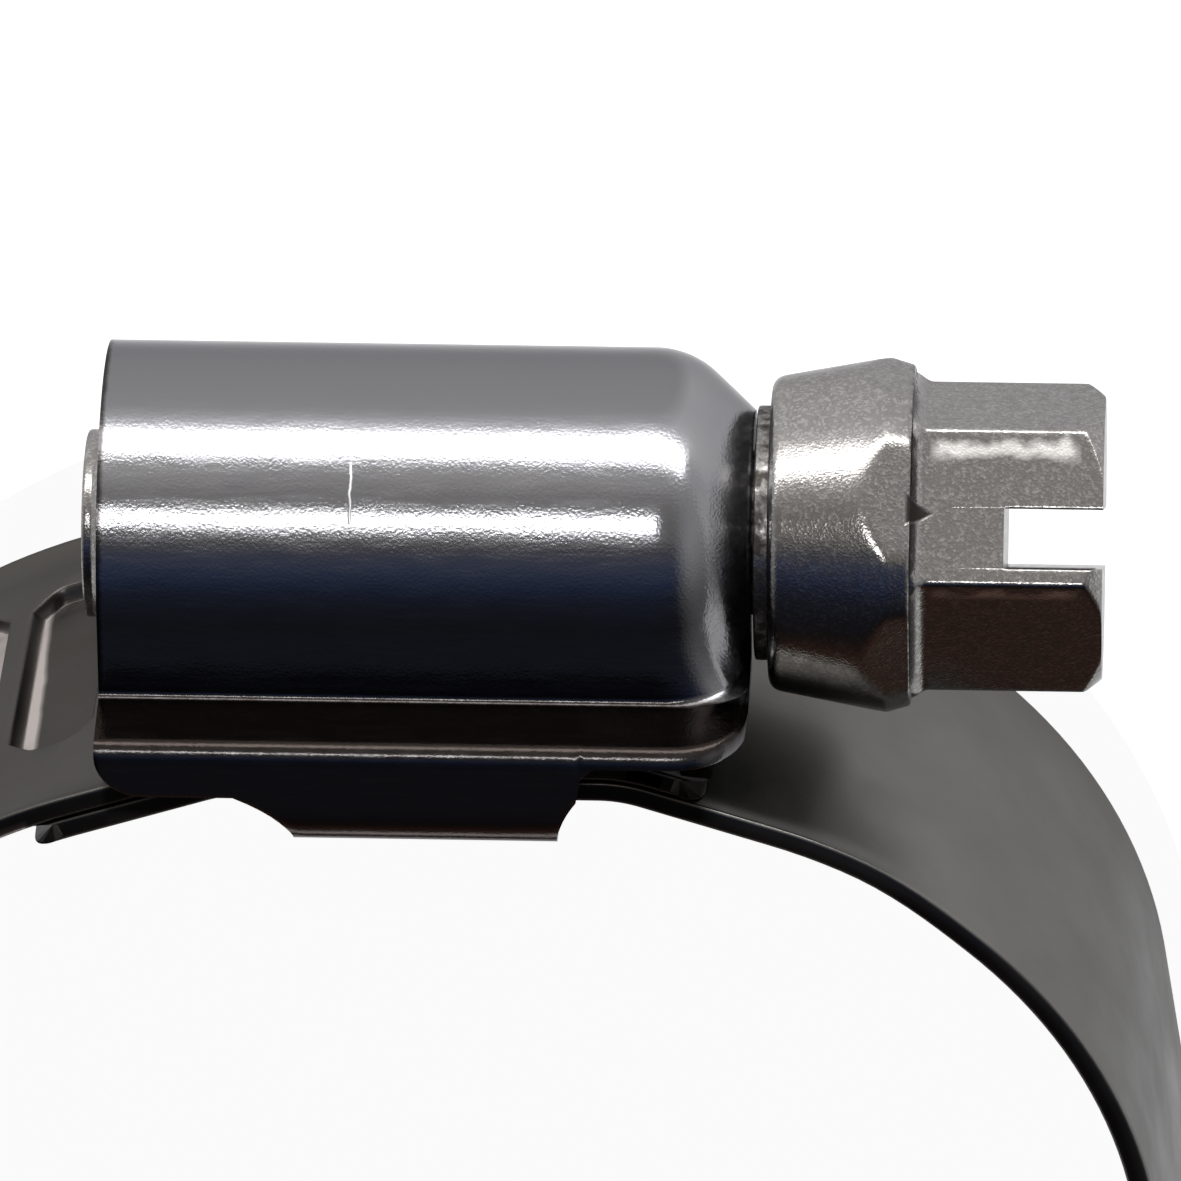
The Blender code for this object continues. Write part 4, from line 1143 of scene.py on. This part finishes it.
def rolled_strip(finish):
    """Rolled stainless strip: satin grey, with faint lengthwise rolling lines, hand marks, painted shade under and
    beside the housing, and a painted reflection on the pocket floors.

    The real lines are too fine to show, so they are drawn 0.07 mm wide.
    """
    material, shader, add = steel("rolled stainless strip", linear(finish.strip), 0.36)
    flat = add("Attribute", attribute_name="flat_strip")["Vector"]
    place = add("VectorMath", flat, 1000.0, operation="SCALE")
    lines, stains, grain = clouds(
        add, place, (1.0, 3.0, (0.15, 14.0, 1.0)), (0.35, 3.0, EVEN), (11.0, 2.0, EVEN))
    spot = add("SeparateXYZ", object_place(add))
    depth = add("SeparateXYZ", place)["Z"]
    along = add("ADD", spot["X"], add("MULTIPLY", stains, 0.3))
    sunk = add("MULTIPLY", add("MapRange", depth, 0.5, 0.25), add("MapRange", depth, 0.05, 0.12))
    # Painted reflection: the floors of the pockets beyond the housing are drawn lighter
    painted_reflection = overlap(
        add, sunk, add("MapRange", along, -9.35, -9.5), add("MapRange", along, -13.0, -10.5, 0.25, 1.0))
    # Painted shade under the housing and beside it, and in the pocket that is about to go in
    above = add("MapRange", spot["Y"], -5.2, -4.7)
    under = add("MULTIPLY", band_mask(add, along, -7.6, 8.0, 0.3), add("MULTIPLY", above, 0.85))
    beside = overlap(
        add, add("MapRange", along, -7.0, -7.4, 0.0, 0.55), add("MapRange", spot["X"], -19.0, -13.0),
        add("MapRange", spot["Y"], -10.0, -6.0), add("SUBTRACT", 1.0, painted_reflection))
    in_pocket = add("MULTIPLY", sunk, add("MapRange", along, -9.5, -9.35, 0.0, 0.65))
    painted_shade = add("MAXIMUM", add("MAXIMUM", under, beside), in_pocket)
    colour = layered(
        add, finish.strip, (add("MapRange", stains, 0.35, 0.7, 0.0, 0.6), STRIP_STAINS), (painted_reflection, STRIP_PAINTED_REFLECTION),
        (painted_shade, finish.grime_and_shade))
    feed(shader, {
        "Base Color": colour, "Roughness": add("MapRange", stains, 0.3, 0.75, 0.30, 0.44),
        "Normal": tilted(add, (lines, 0.0000015), (grain, 0.0000022))})
    return material


def plated_steel(finish):
    """Cold-headed steel, bright plated: a sparkling crystalline grain, a pit, dirt in a seam, darker spots round the
    neck, and a painted highlight.

    The real crystals are too fine to show, so they are drawn 0.07 mm wide.
    """
    material, shader, add = steel("bright plated steel", linear(finish.plating), 0.2)
    place = object_place(add)
    parts = add("SeparateXYZ", place)
    crystals = add("TexVoronoi", inputs={"Vector": place, "Scale": 15.0}, feature="F1")
    grain, spots, waver = clouds(add, place, (14.0, 2.0, EVEN), (3.5, 3.0, EVEN), (1.6, 2.0, EVEN))
    ring_start, collar_start, collar_end, head_end = (1000.0 * value for value in head_places())
    base = add("SUBTRACT", parts["X"], collar_end - 0.1)
    cosine, sine = math.cos(HEX_TURN), math.sin(HEX_TURN)
    slide, side = (add("VectorMath", place, way, operation="DOT_PRODUCT") for way in (
        (0.0, cosine, -sine), (0.0, sine, cosine)))
    # A small pit, pointed towards the head's end, at the foot of one face of the hexagon
    narrowing = add("SUBTRACT", 0.4, add("MULTIPLY", base, 0.62))
    off_middle = add("ABSOLUTE", add("ADD", slide, 0.22))
    pit = overlap(
        add, add("MapRange", add("SUBTRACT", narrowing, off_middle), -0.03, 0.05),
        band_mask(add, base, 0.0, 0.75, 0.05), add("MapRange", side, 2.5, 3.0))
    # Dirt in the seam behind the collar, and darker spots round the neck
    seam = add("MULTIPLY", band_mask(add, parts["X"], collar_end - 0.06, collar_end + 0.12, 0.06),
               add("MapRange", spots, 0.4, 0.65, 0.0, 0.55))
    neck = add("MULTIPLY", band_mask(add, parts["X"], ring_start - 0.5, collar_start + 0.02, 0.05),
               add("MapRange", spots, 0.35, 0.6, 0.2, 0.8))
    dirt = add("MAXIMUM", add("MAXIMUM", pit, seam), neck)
    # Painted highlight: a bright line beside the edges of two faces
    turned = add("ARCTAN2", parts["Y"], parts["Z"])
    turned = add("ADD", turned, 4.0 * math.pi / 3 + math.pi / 6 - HEX_TURN)
    from_face = add("SUBTRACT", add("MODULO", turned, math.pi / 3), math.pi / 6)
    waver = add("MULTIPLY", add("SUBTRACT", waver, 0.5), 0.16)
    painted_highlight = overlap(
        add, band_mask(add, add("ADD", from_face, waver), math.radians(20.5), math.radians(25.5), 0.03),
        band_mask(add, parts["X"], collar_end + 0.6, head_end - 0.7, 0.15),
        add("MapRange", add("ABSOLUTE", side), 3.0, 3.3, 0.0, 0.95))
    sparkle = add("MapRange", add("SeparateXYZ", crystals["Color"])["X"], 0.55, 0.95, 0.0, 0.2)
    colour = layered(
        add, finish.plating, (add("MapRange", spots, 0.42, 0.72, 0.0, 0.5), PLATING_DULL), (sparkle, PLATING_SPARKLE),
        (painted_highlight, PLATING_PAINTED_HIGHLIGHT), (dirt, finish.grime_and_shade))
    rough = add("MapRange", spots, 0.35, 0.75, 0.14, 0.26)
    feed(shader, {
        "Base Color": colour, "Roughness": add("ADD", rough, add("MULTIPLY", dirt, 0.4)),
        "Metallic": add("SUBTRACT", 1.0, add("MULTIPLY", pit, 0.9)),
        "Normal": tilted(add, (crystals["Distance"], 0.0000035), (grain, 0.0000022), (pit, -0.00003))})
    return material


# Studio


def stage_paint(colour):
    """Matt paper: it takes shadows, and the camera and the metal see it near white."""
    material = bpy.data.materials.new("matt studio paper")
    material.use_nodes = True
    material.node_tree.nodes.clear()
    add = partial(add_node, material.node_tree)
    path = add("LightPath")
    seen = add("MAXIMUM", path["Is Camera Ray"], path["Is Glossy Ray"])
    seen = add("MAXIMUM", seen, path["Is Transmission Ray"])
    height = add("SeparateXYZ", add("TexCoord")["Object"])["Z"]
    paper = add("BsdfDiffuse", linear(colour))
    glow = add("Emission", WHITE, add("MapRange", height, 0.0, FLOOR_CURVE, 0.96, 1.0))
    add("OutputMaterial", add("MixShader", seen, paper, add("AddShader", paper, glow)))
    return material


def build_stage(paint):
    """Make a round floor that curves up into a low wall."""
    bm = bmesh.new()
    outline = [(radius, 0.0) for radius in FLOOR_RADII]
    for step in range(1, 9):
        angle = math.pi / 16 * step
        outline.append((FLOOR_RADII[-1] + FLOOR_CURVE * math.sin(angle), FLOOR_CURVE - FLOOR_CURVE * math.cos(angle)))
    outline.append((FLOOR_RADII[-1] + FLOOR_CURVE, WALL_HEIGHT))
    turns = [2.0 * math.pi * step / FLOOR_TURNS for step in range(FLOOR_TURNS)]
    rows = []
    for radius, height in outline:
        line = [bm.verts.new((radius * math.cos(turn), radius * math.sin(turn), height)) for turn in turns]
        rows.append(line + [line[0]])
    add_grid(bm, rows)
    bm.faces.new(rows[0][:-1])
    stage = add_piece("studio_floor", bm, outward=False)
    stage.data.materials.append(paint)
    stage.data.shade_smooth()


def add_lamp(name, place, aim, size, power):
    """Add a rectangular soft lamp that the camera doesn't see."""
    lamp = bpy.data.lights.new(name, "AREA")
    lamp.shape = "RECTANGLE"
    lamp.size, lamp.size_y = size
    lamp.energy = power
    holder = bpy.data.objects.new(name, lamp)
    bpy.context.scene.collection.objects.link(holder)
    holder.location = place
    holder.rotation_euler = (aim - place).to_track_quat("-Z", "Y").to_euler()
    holder.visible_camera = False


def build_room(side_light):
    """Light the room: dim overhead, bright low behind, and bright far to both sides."""
    world = bpy.data.worlds.new("studio room")
    bpy.context.scene.world = world
    world.use_nodes = True
    world.node_tree.nodes.clear()
    add = partial(add_node, world.node_tree)
    parts = add("SeparateXYZ", add("TexCoord")["Generated"])
    angle = add("ARCTAN2", parts["Y"], parts["Z"])
    ramp = add("ValToRGB", add("MapRange", angle, -math.pi, math.pi))
    stops = ramp["Color"].node.color_ramp.elements
    stops.remove(stops[1])
    stops[0].position = 0.0
    stops[0].color = linear(ROOM[0][1])
    for degrees, colour in ROOM[1:]:
        stops.new((degrees + 180.0) / 360.0).color = linear(colour)
    sideways = add("MapRange", add("ABSOLUTE", parts["X"]), 0.55, 0.8)
    middle = add("Background", ramp, 1.6)
    sides = add("Background", WHITE, add("MapRange", parts["Y"], -0.3, 0.25, 0.3 * side_light, side_light))
    add("OutputWorld", add("MixShader", sideways, middle, sides))


def photo_axes():
    """Return the camera's right, up and backward directions as the photograph has them."""
    tilt, swing, roll = CAMERA_TILT, CAMERA_SWING, CAMERA_ROLL
    right = Vector((math.cos(swing), 0.0, -math.sin(swing)))
    up = Vector((-math.sin(swing) * math.sin(tilt), math.cos(tilt), -math.cos(swing) * math.sin(tilt)))
    back = right.cross(up)
    return right * math.cos(roll) - up * math.sin(roll), right * math.sin(roll) + up * math.cos(roll), back


def add_camera():
    """Add the camera at the photograph's viewing angle."""
    right, up, back = photo_axes()
    middle = PHOTO_SIZE / 2
    aim = axis_origin()
    aim += right * ((middle - AXIS_PIXEL[0]) / PIXELS_PER_METRE) + up * ((AXIS_PIXEL[1] - middle) / PIXELS_PER_METRE)
    data = bpy.data.cameras.new("photo_camera")
    data.sensor_width = SENSOR
    data.lens = SENSOR * PIXELS_PER_METRE * CAMERA_DISTANCE / PHOTO_SIZE
    data.clip_start = 0.01
    data.clip_end = 50.0
    camera = bpy.data.objects.new("photo_camera", data)
    bpy.context.scene.collection.objects.link(camera)
    turn = Matrix((right, up, back)).transposed().to_4x4()
    camera.matrix_world = Matrix.Translation(aim + back * CAMERA_DISTANCE) @ turn
    bpy.context.scene.camera = camera


# Operators and panel


class HOSECLAMP_OT_housing(Operator):
    """Press the housing and polish it."""

    bl_idname = "hoseclamp.housing"
    bl_label = "Make Housing"

    def execute(self, context):
        """Make the housing in place of its solid."""
        scene = context.scene
        piece = build_housing(scene.hose_clamp_housing, scene.hose_clamp_strip)
        finish_piece(piece, polished_sheet(scene.hose_clamp_finish), "housing", "clamp_body", 35.0)
        return {"FINISHED"}


class HOSECLAMP_OT_strip(Operator):
    """Press the pockets and roll the strip round the ring."""

    bl_idname = "hoseclamp.strip"
    bl_label = "Make Strip"

    def execute(self, context):
        """Make the strip in place of its solid."""
        scene = context.scene
        material = rolled_strip(scene.hose_clamp_finish)
        piece = build_strip(scene.hose_clamp_strip, material)
        finish_piece(piece, material, "band", "clamp_body", 40.0)
        return {"FINISHED"}


class HOSECLAMP_OT_screw(Operator):
    """Turn and head the screw, and wind its worm."""

    bl_idname = "hoseclamp.screw"
    bl_label = "Make Screw"

    def execute(self, context):
        """Make the screw's body and its worm in place of its solid."""
        scene = context.scene
        pitch = scene.hose_clamp_strip.pitch
        material = plated_steel(scene.hose_clamp_finish)
        body = build_screw(scene.hose_clamp_screw, scene.hose_clamp_housing)
        worm = thread_bar(pitch)
        apply_tree(worm, worm_tree(), {
            "Pitch": pitch, "Mesh Position": MESH_POSITION, "Root Radius": WORM_ROOT_RADIUS, "Start": WORM_START,
            "End": WORM_END, "Runout": WORM_RUNOUT, "Material": material})
        for piece in (body, worm):
            finish_piece(piece, material, "screw", "drive_screw", 35.0)
        return {"FINISHED"}


class HOSECLAMP_OT_studio(Operator):
    """Set up the floor, the light and the camera."""

    bl_idname = "hoseclamp.studio"
    bl_label = "Make Studio"

    def execute(self, context):
        """Make the stage round the clamp."""
        studio = context.scene.hose_clamp_studio
        build_stage(stage_paint(studio.floor))
        build_room(studio.side_light)
        axis = axis_origin()
        aim = Vector((0.0, axis.y, BACK_LAMP_HEIGHT))
        behind = aim + Vector((0.0, BACK_LAMP_DISTANCE, 0.0))
        add_lamp("low_back_light", behind, aim, BACK_LAMP_SIZE, studio.back_light)
        add_lamp("narrow_line_light", axis + Vector(LINE_LAMP_OFFSET), axis, LINE_LAMP_SIZE, studio.line_light)
        add_camera()
        context.scene.view_settings.view_transform = "Standard"
        return {"FINISHED"}


class HOSECLAMP_PT_panel(Panel):
    """List the steps and their sizes in the sidebar."""

    bl_label = "Hose Clamp"
    bl_idname = "HOSECLAMP_PT_panel"
    bl_space_type = "VIEW_3D"
    bl_region_type = "UI"
    bl_category = "Hose Clamp"

    def draw(self, context):
        """Draw the operators and the groups of sizes."""
        for operator in OPERATORS:
            self.layout.operator(operator.bl_idname)
        for name in GROUPS:
            box = self.layout.box()
            group = getattr(context.scene, name)
            for field in group.__annotations__:
                box.prop(group, field)


OPERATORS = (HOSECLAMP_OT_housing, HOSECLAMP_OT_strip, HOSECLAMP_OT_screw, HOSECLAMP_OT_studio)
GROUPS = {
    "hose_clamp_strip": HoseClampStrip,
    "hose_clamp_housing": HoseClampHousing,
    "hose_clamp_screw": HoseClampScrew,
    "hose_clamp_finish": HoseClampFinish,
    "hose_clamp_studio": HoseClampStudio,
}


def register():
    """Register the property groups, the operators and the panel."""
    for name, group in GROUPS.items():
        bpy.utils.register_class(group)
        setattr(bpy.types.Scene, name, PointerProperty(type=group))
    for item in OPERATORS + (HOSECLAMP_PT_panel,):
        bpy.utils.register_class(item)


def unregister():
    """Take back all that register added."""
    for item in reversed(OPERATORS + (HOSECLAMP_PT_panel,)):
        bpy.utils.unregister_class(item)
    for name, group in reversed(list(GROUPS.items())):
        delattr(bpy.types.Scene, name)
        bpy.utils.unregister_class(group)


def main():
    """Make every piece and the studio."""
    register()
    bpy.ops.hoseclamp.housing()
    bpy.ops.hoseclamp.strip()
    bpy.ops.hoseclamp.screw()
    bpy.ops.hoseclamp.studio()


if __name__ == "__main__":
    main()
